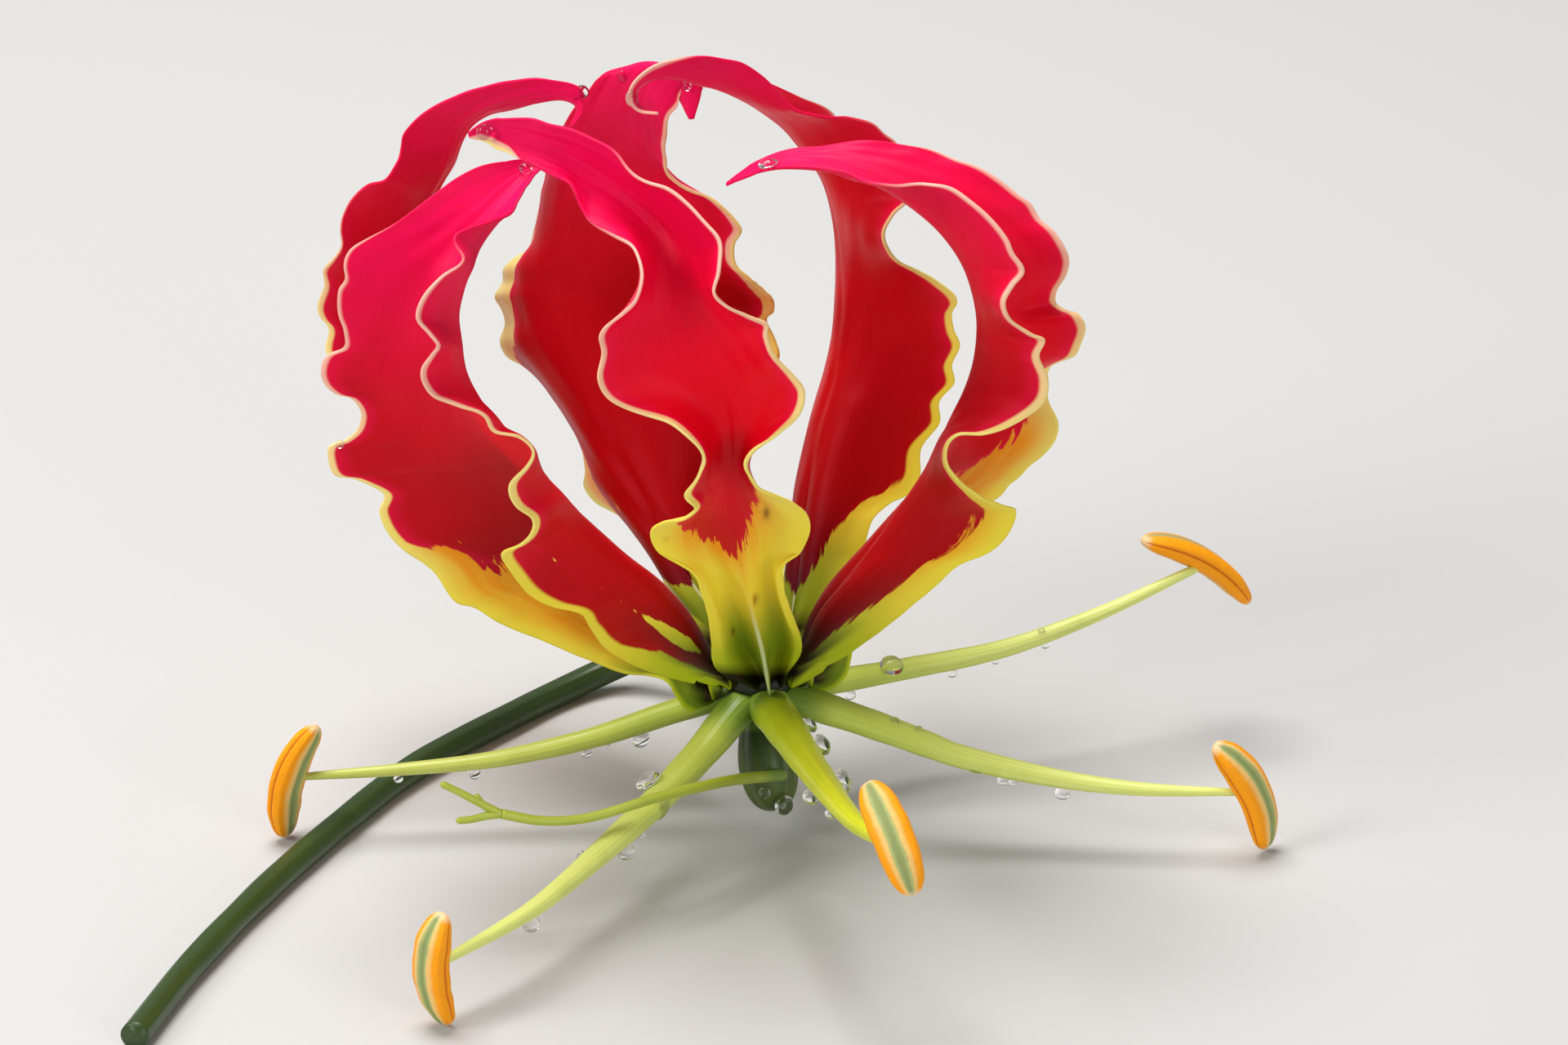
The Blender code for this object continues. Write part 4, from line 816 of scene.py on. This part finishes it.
front_right_rib = [
    (3.0, 0.6, -1.7), (4.2, 4.4, -2.8), (5.6, 7.3, -3.8), (8.8, 11.2, -5.4), (11.4, 14.7, -6.8),
    (14.0, 18.2, -8.2), (16.2, 21.7, -9.4), (17.7, 25.2, -10.2), (18.9, 28.7, -10.8),
    (19.2, 32.4, -11.0), (18.8, 35.3, -10.8), (17.9, 37.7, -10.4), (16.1, 40.1, -9.8),
    (13.8, 42.1, -9.0), (11.5, 43.7, -8.2), (9.0, 45.0, -7.4), (6.0, 45.9, -6.6), (3.2, 46.2, -6.0),
    (0.4, 45.8, -5.4), (-1.6, 44.9, -5.0), (-2.9, 44.2, -4.8),
]
front_right_near = [
    (3.0, 1.5), (4.2, 1.4), (5.4, 1.9), (7.7, 3.1), (11.9, 6.2), (15.4, 9.1), (17.3, 10.8),
    (20.1, 12.0), (21.7, 13.6), (22.4, 15.6), (20.9, 16.2), (19.1, 16.9), (17.5, 18.2), (16.4, 19.6),
    (16.4, 21.3), (17.5, 22.3), (19.7, 22.4), (21.9, 23.1), (24.7, 25.0), (25.2, 27.0), (24.4, 29.1),
    (24.9, 30.5), (23.8, 31.1), (22.0, 32.2), (21.4, 33.8), (22.2, 35.3), (23.1, 36.6), (22.2, 38.1),
    (21.6, 39.4), (20.1, 41.2), (18.5, 42.7), (16.6, 43.9), (14.6, 44.2), (11.7, 44.1), (9.6, 44.3),
    (7.8, 45.2), (5.2, 45.6), (2.2, 45.7), (-0.4, 45.2), (-2.2, 44.5), (-2.9, 44.1),
]
front_right_far = [
    (3.2, 0.3, -1.2), (4.2, 0.0, -0.8), (5.4, -0.1, -0.3), (6.6, 0.3, 0.1), (7.5, 1.3, 0.4),
    (7.9, 2.6, 0.4), (8.3, 4.2, 0.2), (9.8, 7.0), (13.8, 11.4), (17.9, 14.8), (20.9, 16.9),
    (21.9, 18.0), (23.6, 19.6), (25.6, 21.5), (26.1, 23.3), (25.2, 25.4), (25.2, 27.9), (26.1, 28.7),
    (27.5, 29.2), (28.1, 30.3), (28.5, 31.6), (28.0, 32.7), (27.0, 33.1), (25.9, 33.8), (25.9, 34.9),
    (26.8, 36.4), (27.0, 37.9), (25.9, 39.9), (24.5, 41.2), (23.7, 42.5), (22.6, 43.3), (21.1, 44.5),
    (19.4, 45.6), (17.4, 46.3), (15.0, 47.2), (12.1, 47.7), (10.0, 48.0), (7.8, 47.9), (5.6, 47.5),
    (3.6, 47.4), (1.6, 47.0), (-0.4, 46.1), (-2.2, 45.0), (-2.9, 44.4),
]
front_right_widths = [1.0, 4.5, 7.5, 9.0, 9.0, 8.5, 8.0, 6.0, 3.0, 0.4]
add_petal(
    "front_right_petal", 200, front_right_rib, front_right_near, front_right_far, front_right_widths, 1, -1,
    gold_near=[(0, 1.6), (0.06, 2.2), (0.2, 2.0), (0.28, 1.7), (0.33, 1.1), (0.38, 0.6), *RIM_TO_TIP],
    gold_far=[(0, 9), (0.05, 3.5), (0.09, 1.4), (0.24, 1.8), (0.29, 5.6), (0.36, 4.6), (0.41, 2.2),
              (0.46, 0.5), *RIM_TO_TIP[1:]],
    groove=1.2, far_pouch=True, far_amber=True, dark_from=0.12)


# Six stamens: stout tapering green filaments that spread level from under the petals, each
# carrying one anther balanced on its tip.
FILAMENT_STEPS, FILAMENT_SIDES = 110, 28
FILAMENT_TAPER = 0.85
FILAMENT_WAVER = 0.035
FILAMENT_FLATNESS = 0.07
ROOT_IN = (0.45, 0.45, 0.9)
# Each is given by its points from root to tip and its radius at either end.
FILAMENTS = {
    "left": ([(-3.3, -0.6, -0.6), (-8.1, -2.1, -0.9), (-14.9, -4.3, -1.4), (-23.1, -6.1, -2.0),
              (-31.4, -7.0, -2.6), (-39.4, -7.6, -3.0), (-40.2, -7.8, -3.0)], 1.25, 0.30),
    "front_left": ([(-2.1, -1.9, -3.0), (-5.0, -5.4, -6.6), (-9.3, -10.0, -13.8), (-14.3, -14.6, -21.2),
                    (-20.0, -19.3, -29.2), (-27.2, -23.5, -36.8), (-27.9, -24.0, -37.2)], 1.65, 0.34),
    "front": ([(0.9, -1.6, -3.2), (2.5, -3.9, -9.5), (5.0, -7.5, -19.5), (8.3, -11.6, -31.5),
               (11.1, -13.3, -37.8), (11.5, -13.4, -38.6)], 1.9, 0.5),
    "right": ([(3.3, -0.9, -1.0), (9.4, -2.9, -2.0), (14.6, -4.8, -3.0), (18.0, -6.0, -3.6),
               (25.5, -7.7, -4.6), (33.0, -8.7, -5.6), (41.1, -9.0, -6.0), (42.0, -9.1, -5.9)], 1.55, 0.28),
    "back_right": ([(3.4, 0.2, 2.2), (7.1, 0.8, 4.2), (13.2, 1.9, 7.0), (21.4, 3.6, 10.0),
                    (29.6, 6.6, 13.2), (37.1, 10.1, 16.2), (38.3, 10.7, 17.8)], 1.25, 0.36),
    "back": ([(0.2, 0.2, 3.4), (0.5, 1.9, 12.0), (1.0, 4.6, 24.0), (1.5, 8.2, 34.0),
              (2.0, 11.4, 42.7), (2.05, 11.7, 43.5)], 1.35, 0.34),
}
pale_finish = stem_finish("filament_skin", (0.52, 0.62, 0.08), (0.76, 0.82, 0.23), (0.38, 0.48, 0.05), 260.0)
left_finish = stem_finish(
    "left_filament_skin", (0.36, 0.44, 0.045), (0.56, 0.60, 0.12), (0.27, 0.35, 0.03), 260.0)
front_finish = stem_finish(
    "front_filament_skin", (0.42, 0.52, 0.012), (0.68, 0.72, 0.025), (0.32, 0.42, 0.012), 260.0)


def filament_section(turns, share):
    """Flattened a little at the root, round at the tip."""
    return 1.0 - FILAMENT_FLATNESS * (1.0 - share) * np.cos(2 * turns)


for k, (name, (line, thick, fine)) in enumerate(FILAMENTS.items()):
    spots = [place(*p) for p in line]
    spots.insert(0, spots[0] * ROOT_IN)
    filament_path = smooth_line(spots, FILAMENT_STEPS)
    share = np.linspace(0.0, 1.0, FILAMENT_STEPS)
    radii = fine + (thick - fine) * (1.0 - share) ** FILAMENT_TAPER
    radii *= 1.0 + FILAMENT_WAVER * ripple(share, 40 + k, 5.0) * (1.0 - share)
    points, faces, numbers = tube(filament_path, radii, FILAMENT_SIDES, section=filament_section)
    finish = {"front": front_finish, "left": left_finish}.get(name, pale_finish)
    add_piece(name + "_filament", points, faces, numbers, finish, "filament_" + name)


# Six anthers: little boats of ripe pollen hung crosswise on the filaments, with powdery orange
# flanks, paler lips and a grey-green seam down the middle of the open face.
ANTHER_STEPS, ANTHER_SIDES = 72, 64
ANTHER_WIDTH, ANTHER_DEPTH, ANTHER_BOW = 3.6, 2.5, 1.3
ANTHER_BLUNTNESS, ANTHER_END = 3.0, 0.07
# Each is given by its two ends, the way it bows, and the way its open face looks.
ANTHERS = {
    "left": ((-38.7, -3.2, -3.0), (-41.4, -12.8, -3.0), (-1.0, -0.15, 0.0), (0.85, -0.5, 0.0)),
    "front_left": ((-27.6, -19.6, -37.2), (-27.2, -29.2, -37.4), (-1.0, -0.3, 0.0), (-0.75, -0.65, 0.0)),
    "front": ((9.4, -8.2, -35.2), (13.4, -18.0, -41.0), (0.25, -0.8, 0.2), (0.05, -0.9, 0.3)),
    "right": ((39.7, -4.9, -6.2), (44.1, -13.9, -5.6), (1.0, 0.1, 0.3), (0.90, -0.55, 0.3)),
    "back_right": ((33.4, 13.0, 16.4), (42.7, 7.6, 19.4), (0.5, 0.3, 0.6), (-0.30, -0.18, -0.85)),
    "back": ((2.0, 16.2, 42.8), (2.2, 7.0, 43.0), (0.0, 1.0, 0.1), (0.0, 1.0, 0.0)),
}
SEAM_GREEN = (0.28, 0.34, 0.12)
LIP_GREEN = (0.42, 0.47, 0.17)
LIP_PEACH = (0.90, 0.56, 0.17)
POLLEN_ORANGE = (1.0, 0.36, 0.0)
SPLIT_RUST = (0.60, 0.13, 0.001)
BACK_OLIVE = (0.42, 0.36, 0.14)
TIP_CREAM = (0.86, 0.66, 0.40)
LIP_AT, SPLIT_AT = 0.151, 0.255
ANTHER_RELIEF = (
    (-0.20, 0.0, 0.20), (0.07, 2 * pi * LIP_AT, 0.16), (-0.13, 2 * pi * SPLIT_AT, 0.12), (-0.22, pi, 0.45))

# The skin goes by how far round from the seam it is, as a share of the whole turn.
pollen = Finish("pollen_skin", 0.58)
from_seam = pollen.number("seam")
dust = pollen.grain(2600.0, 3.0)
patches = pollen.grain(420.0, 4.0)
wandering = pollen.sums("ADD", from_seam, pollen.scaled(patches, 0.035, -0.0175))
skin = pollen.blend(pollen.ramp(wandering, 0.014, 0.045), SEAM_GREEN, LIP_GREEN)
skin = pollen.blend(pollen.ramp(wandering, 0.044, 0.064), skin, LIP_PEACH)
skin = pollen.blend(pollen.ramp(wandering, 0.074, 0.118), skin, POLLEN_ORANGE)
from_split = pollen.sums("ABSOLUTE", pollen.sums("SUBTRACT", from_seam, SPLIT_AT))
in_split = pollen.sums("SUBTRACT", 1.0, pollen.ramp(from_split, 0.006, 0.022))
skin = pollen.blend(pollen.times(in_split, 0.8), skin, SPLIT_RUST)
skin = pollen.blend(pollen.ramp(wandering, 0.42, 0.47), skin, BACK_OLIVE)
skin = pollen.blend(pollen.times(pollen.ramp(dust, 0.5, 0.75), 0.16), skin, SPLIT_RUST)
from_middle = pollen.sums("ABSOLUTE", pollen.sums("SUBTRACT", pollen.number("along"), 0.5))
skin = pollen.blend(pollen.times(pollen.ramp(from_middle, 0.44, 0.495), 0.75), skin, TIP_CREAM)
pollen.wire(skin, pollen.shader, "Base Color")
pollen.bump(pollen.sums("ADD", dust, pollen.times(patches, 0.8)), 0.55, 0.00012)
pollen.settle({"Specular IOR Level": 0.25})


def anther_section(turns, share):
    """Two plump flanks either side of a sunk seam, each with a raised lip and a fine split, and
    a sunk back: each is a height, the turn it lies at, and its width."""
    angle = np.abs((turns + pi) % (2 * pi) - pi)
    return 1.0 + sum(height * np.exp(-(((angle - at) / width) ** 2)) for height, at, width in ANTHER_RELIEF)


for k, (name, (head, foot, bow_way, face_way)) in enumerate(ANTHERS.items()):
    top, bottom = place(*head), place(*foot)
    axis = (bottom - top) / np.linalg.norm(bottom - top)
    away = np.array(bow_way) - axis * (np.array(bow_way) @ axis)
    away /= np.linalg.norm(away)
    share = 0.5 - 0.5 * np.cos(np.linspace(0.0, pi, ANTHER_STEPS))
    outward = np.abs(2.0 * share - 1.0)
    anther_path = top + np.outer(share, bottom - top) + np.outer(ANTHER_BOW * (1.0 - outward ** 2), away)
    fat = (1.0 - outward ** ANTHER_BLUNTNESS) ** 0.5 * (1.0 - ANTHER_END) + ANTHER_END
    radii = ANTHER_DEPTH / 2 * fat * (1.0 + 0.03 * ripple(share, 60 + k, 3.0))
    points, faces, numbers = tube(
        anther_path, radii, ANTHER_SIDES, section=anther_section, start_side=face_way,
        depth_ratio=ANTHER_WIDTH / ANTHER_DEPTH)
    numbers["along"] = np.concatenate([np.repeat(share, ANTHER_SIDES), [0.0, 1.0]])
    numbers["seam"] = np.minimum(numbers["round"], 1.0 - np.array(numbers["round"]))
    add_piece(name + "_anther", points, faces, numbers, pollen.material, "anther_" + name)


# The ovary: a dark green pod of three fused lobes, hanging in the middle under the petals.  It
# swells from a narrower neck and closes to a blunt end, with a seam down each lobe.
OVARY_RADIUS, OVARY_END_RADIUS = 2.6, 0.1
OVARY_NECK = 0.62
OVARY_SWELL_RATE = 1.7
OVARY_STEPS, OVARY_SIDES = 90, 96
LOBE_GROOVE = 0.16
LOBE_SEAM, LOBE_SEAM_WIDTH = 0.03, 0.12
ovary_finish = stem_finish(
    "ovary_skin", (0.025, 0.048, 0.006), (0.085, 0.13, 0.018), (0.016, 0.034, 0.004), 300.0)


def ovary_section(turns, share):
    """Three lobes, with deep grooves between them."""
    groove = (0.5 - 0.5 * np.cos(3 * turns)) ** 3
    seam = np.exp(-((np.cos(1.5 * turns) / LOBE_SEAM_WIDTH) ** 2))
    return 1.0 - LOBE_GROOVE * groove - LOBE_SEAM * seam


ovary_path = smooth_line([(0.0, -0.4, -2.5), (0.6, -1.6, -6.0), (1.3, -3.4, -10.2)], OVARY_STEPS)
share = np.linspace(0.0, 1.0, OVARY_STEPS)
swell = OVARY_NECK + (1.0 - OVARY_NECK) * np.sin(np.minimum(share * OVARY_SWELL_RATE, 1.0) * pi / 2)
ovary_radii = OVARY_RADIUS * swell * (1.0 - share**5) ** 0.5 + OVARY_END_RADIUS
points, faces, numbers = tube(
    ovary_path, ovary_radii, OVARY_SIDES, section=ovary_section, start_side=(0.0, -1.0, 0.0))
add_piece("ovary_pod", points, faces, numbers, ovary_finish, "ovary")


# The style: a thin arm that leaves the ovary sideways and forks into three blunt stigma branches.
STYLE_STEPS, STYLE_SIDES = 120, 20
STYLE_RADIUS = 0.52
STYLE_TAPER, FORK_SWELL = 0.26, 0.12
BRANCH_STEPS, BRANCH_SIDES = 40, 16
BRANCH_RADIUS, BRANCH_TAPER = 0.36, 0.15
BLUNT_SHARE, BLUNT_LEAST = 0.06, 0.05
BRANCH_PALENESS = 0.6
STYLE_LINE = [(2.0, -7.5, -4.9), (-2.1, -7.9, -10.4), (-5.5, -8.6, -14.2), (-9.5, -9.6, -17.2),
              (-14.9, -11.2, -20.0), (-19.0, -11.5, -21.5), (-22.6, -10.9, -22.2)]
BRANCHES = (
    [(-22.6, -10.9, -22.2), (-24.4, -10.0, -22.3), (-26.3, -9.0, -22.4), (-28.0, -8.2, -22.5)],
    [(-22.6, -10.9, -22.2), (-23.7, -10.5, -21.4), (-24.4, -9.9, -20.4), (-24.9, -9.2, -19.6)],
    [(-22.6, -10.9, -22.2), (-24.0, -11.1, -22.6), (-25.4, -11.4, -23.2), (-26.6, -11.5, -23.6)],
)
style_finish = stem_finish("style_skin", (0.34, 0.40, 0.018), (0.46, 0.54, 0.06), (0.24, 0.33, 0.02), 300.0)
style_path = smooth_line([place(*p) for p in STYLE_LINE], STYLE_STEPS)
share = np.linspace(0.0, 1.0, STYLE_STEPS)
style_radii = STYLE_RADIUS * (1.0 - STYLE_TAPER * share + FORK_SWELL * share**8)
tubes = [tube(style_path, style_radii, STYLE_SIDES)]
for line in BRANCHES:
    branch_path = smooth_line([place(*p) for p in line], BRANCH_STEPS)
    share = np.linspace(0.0, 1.0, BRANCH_STEPS)
    blunt = np.minimum(1.0, (1.0 - share) / BLUNT_SHARE + BLUNT_LEAST) ** 0.5
    branch = tube(branch_path, BRANCH_RADIUS * (1.0 - BRANCH_TAPER * share) * blunt, BRANCH_SIDES)
    branch[2]["along"] = BRANCH_PALENESS + (1.0 - BRANCH_PALENESS) * np.array(branch[2]["along"])
    tubes.append(branch)
points, faces, numbers = [], [], {"along": [], "round": []}
for made_points, made_faces, made_numbers in tubes:
    faces.extend(tuple(i + len(points) for i in face) for face in made_faces)
    points.extend(made_points)
    for key in numbers:
        numbers[key].extend(made_numbers[key])
add_piece("style_and_stigma", points, faces, numbers, style_finish, "style")


# Water drops left by rain: clear beads clinging to the petals, hanging under the filaments and
# from the ovary.  Each is flattened against what carries it and sags a little.
WATER_BENDING = 1.333
DROP_RINGS, DROP_SIDES = 12, 20
DROP_HEIGHT, DROP_FOOT_SHARE = 0.85, 0.6
DROP_PROUD = 0.42
DROP_SAG = 0.12
DROP_SIDE = (0.3, 0.2, 1.0)
TOUCHING = 1e-4
SAME_POINT, NO_LENGTH = 2e-6, 1e-7
# For each piece that carries drops: where they are seen, how far back, and their radius.
DROPS = {
    "left_filament": [
        (-31.6, -8.3, -3.0, 0.42), (-24.9, -8.0, -2.4, 0.55), (-15.0, -6.1, -1.6, 0.5),
        (-13.2, -5.3, -1.5, 0.25), (-10.2, -4.9, -1.2, 0.8)],
    "front_left_filament": [
        (-9.8, -7.9, -12.0, 1.15), (-8.4, -10.4, -14.5, 1.1), (-11.8, -13.9, -18.5, 0.75),
        (-15.4, -14.6, -21.0, 0.5), (-10.2, -12.9, -17.0, 0.3), (-20.0, -20.5, -29.5, 0.75),
        (-21.2, -19.1, -29.5, 0.25)],
    "front_filament": [
        (5.1, -4.8, -13.0, 0.95), (4.1, -3.2, -9.0, 0.7), (7.0, -7.7, -21.0, 0.95),
        (7.6, -8.6, -24.0, 0.45), (4.3, -9.6, -21.0, 0.75), (6.1, -11.0, -26.0, 0.45)],
    "right_filament": [
        (18.9, -6.9, -4.0, 0.8), (21.2, -7.9, -4.3, 0.45), (22.1, -8.1, -4.4, 0.35),
        (26.5, -8.7, -5.0, 0.65), (11.8, -2.6, -2.8, 0.4), (13.9, -3.4, -3.0, 0.35)],
    "back_right_filament": [
        (11.8, 2.9, 4.8, 1.05), (16.8, 1.6, 8.2, 0.45), (20.6, 2.5, 9.8, 0.35), (25.0, 3.7, 11.5, 0.4),
        (24.6, 5.9, 10.5, 0.3), (7.9, -0.3, 4.0, 0.5)],
    "ovary_pod": [(1.9, -9.8, -4.6, 0.9), (0.4, -9.0, -5.0, 0.5)],
    "back_petal": [(-12.0, 53.6, 14.5, 0.8), (-6.6, 52.6, 10.5, 0.4)],
    "back_right_petal": [(-11.6, 51.9, 0.2, 0.7)],
    "back_left_petal": [(-15.6, 52.3, 8.6, 0.6)],
    "front_right_petal": [(0.5, 46.7, -6.4, 0.85)],
    "front_petal": [(-24.1, 48.5, -14.0, 0.7), (-8.1, 15.0, -17.0, 0.6)],
    "front_left_petal": [(-20.4, 45.8, -10.0, 0.55), (-37.0, 21.4, -13.0, 0.35)],
}
water = Finish("rain_water", 0.0)
water.settle({"Base Color": (1.0, 1.0, 1.0, 1.0), "Transmission Weight": 1.0, "IOR": WATER_BENDING})
drop_points, drop_faces = [], []


def add_drop(foot, out, size):
    """Adds a drop's points and faces, standing out from its foot."""
    side = np.cross(out, DROP_SIDE)
    side /= np.linalg.norm(side)
    other = np.cross(out, side)
    start = len(drop_points)
    for i in range(DROP_RINGS + 1):
        lean = pi * i / DROP_RINGS
        high = DROP_HEIGHT * cos(lean) * (1.0 if lean < pi / 2 else DROP_FOOT_SHARE)
        sag = DROP_SAG * size * (1.0 + cos(lean)) ** 2 * (0.5 + 0.5 * sin(lean))
        for j in range(DROP_SIDES):
            turn = 2 * pi * j / DROP_SIDES
            flat = (side * cos(turn) + other * sin(turn)) * sin(lean)
            spot = foot + (out * (DROP_PROUD + high) + flat) * size
            spot[2] -= sag
            drop_points.append(spot)
    for i in range(DROP_RINGS):
        for j in range(DROP_SIDES):
            a, b = start + i * DROP_SIDES + j, start + i * DROP_SIDES + (j + 1) % DROP_SIDES
            drop_faces.append((a, a + DROP_SIDES, b + DROP_SIDES, b))


shown = {piece.name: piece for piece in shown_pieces()}
for carrier, places in DROPS.items():
    mesh = shown[carrier].data
    skin_points = [v.co for v in mesh.vertices]
    carrier_skin = BVHTree.FromPolygons(skin_points, [p.vertices for p in mesh.polygons])
    for right, up, back, size in places:
        spot = Vector((place(right, up, back) + RECEPTACLE_AT) * MM)
        foot, out, _, _ = carrier_skin.find_nearest(spot)
        if (spot - foot).length > TOUCHING:
            out = (spot - foot).normalized()
        add_drop(np.array(foot) / MM - RECEPTACLE_AT, np.array(out), size)
drops = add_piece("rain_drops", drop_points, drop_faces, {}, water.material, None)
beads = bmesh.new()
beads.from_mesh(drops.data)
bmesh.ops.remove_doubles(beads, verts=beads.verts, dist=SAME_POINT)
bmesh.ops.dissolve_degenerate(beads, edges=beads.edges, dist=NO_LENGTH)
beads.to_mesh(drops.data)
beads.free()
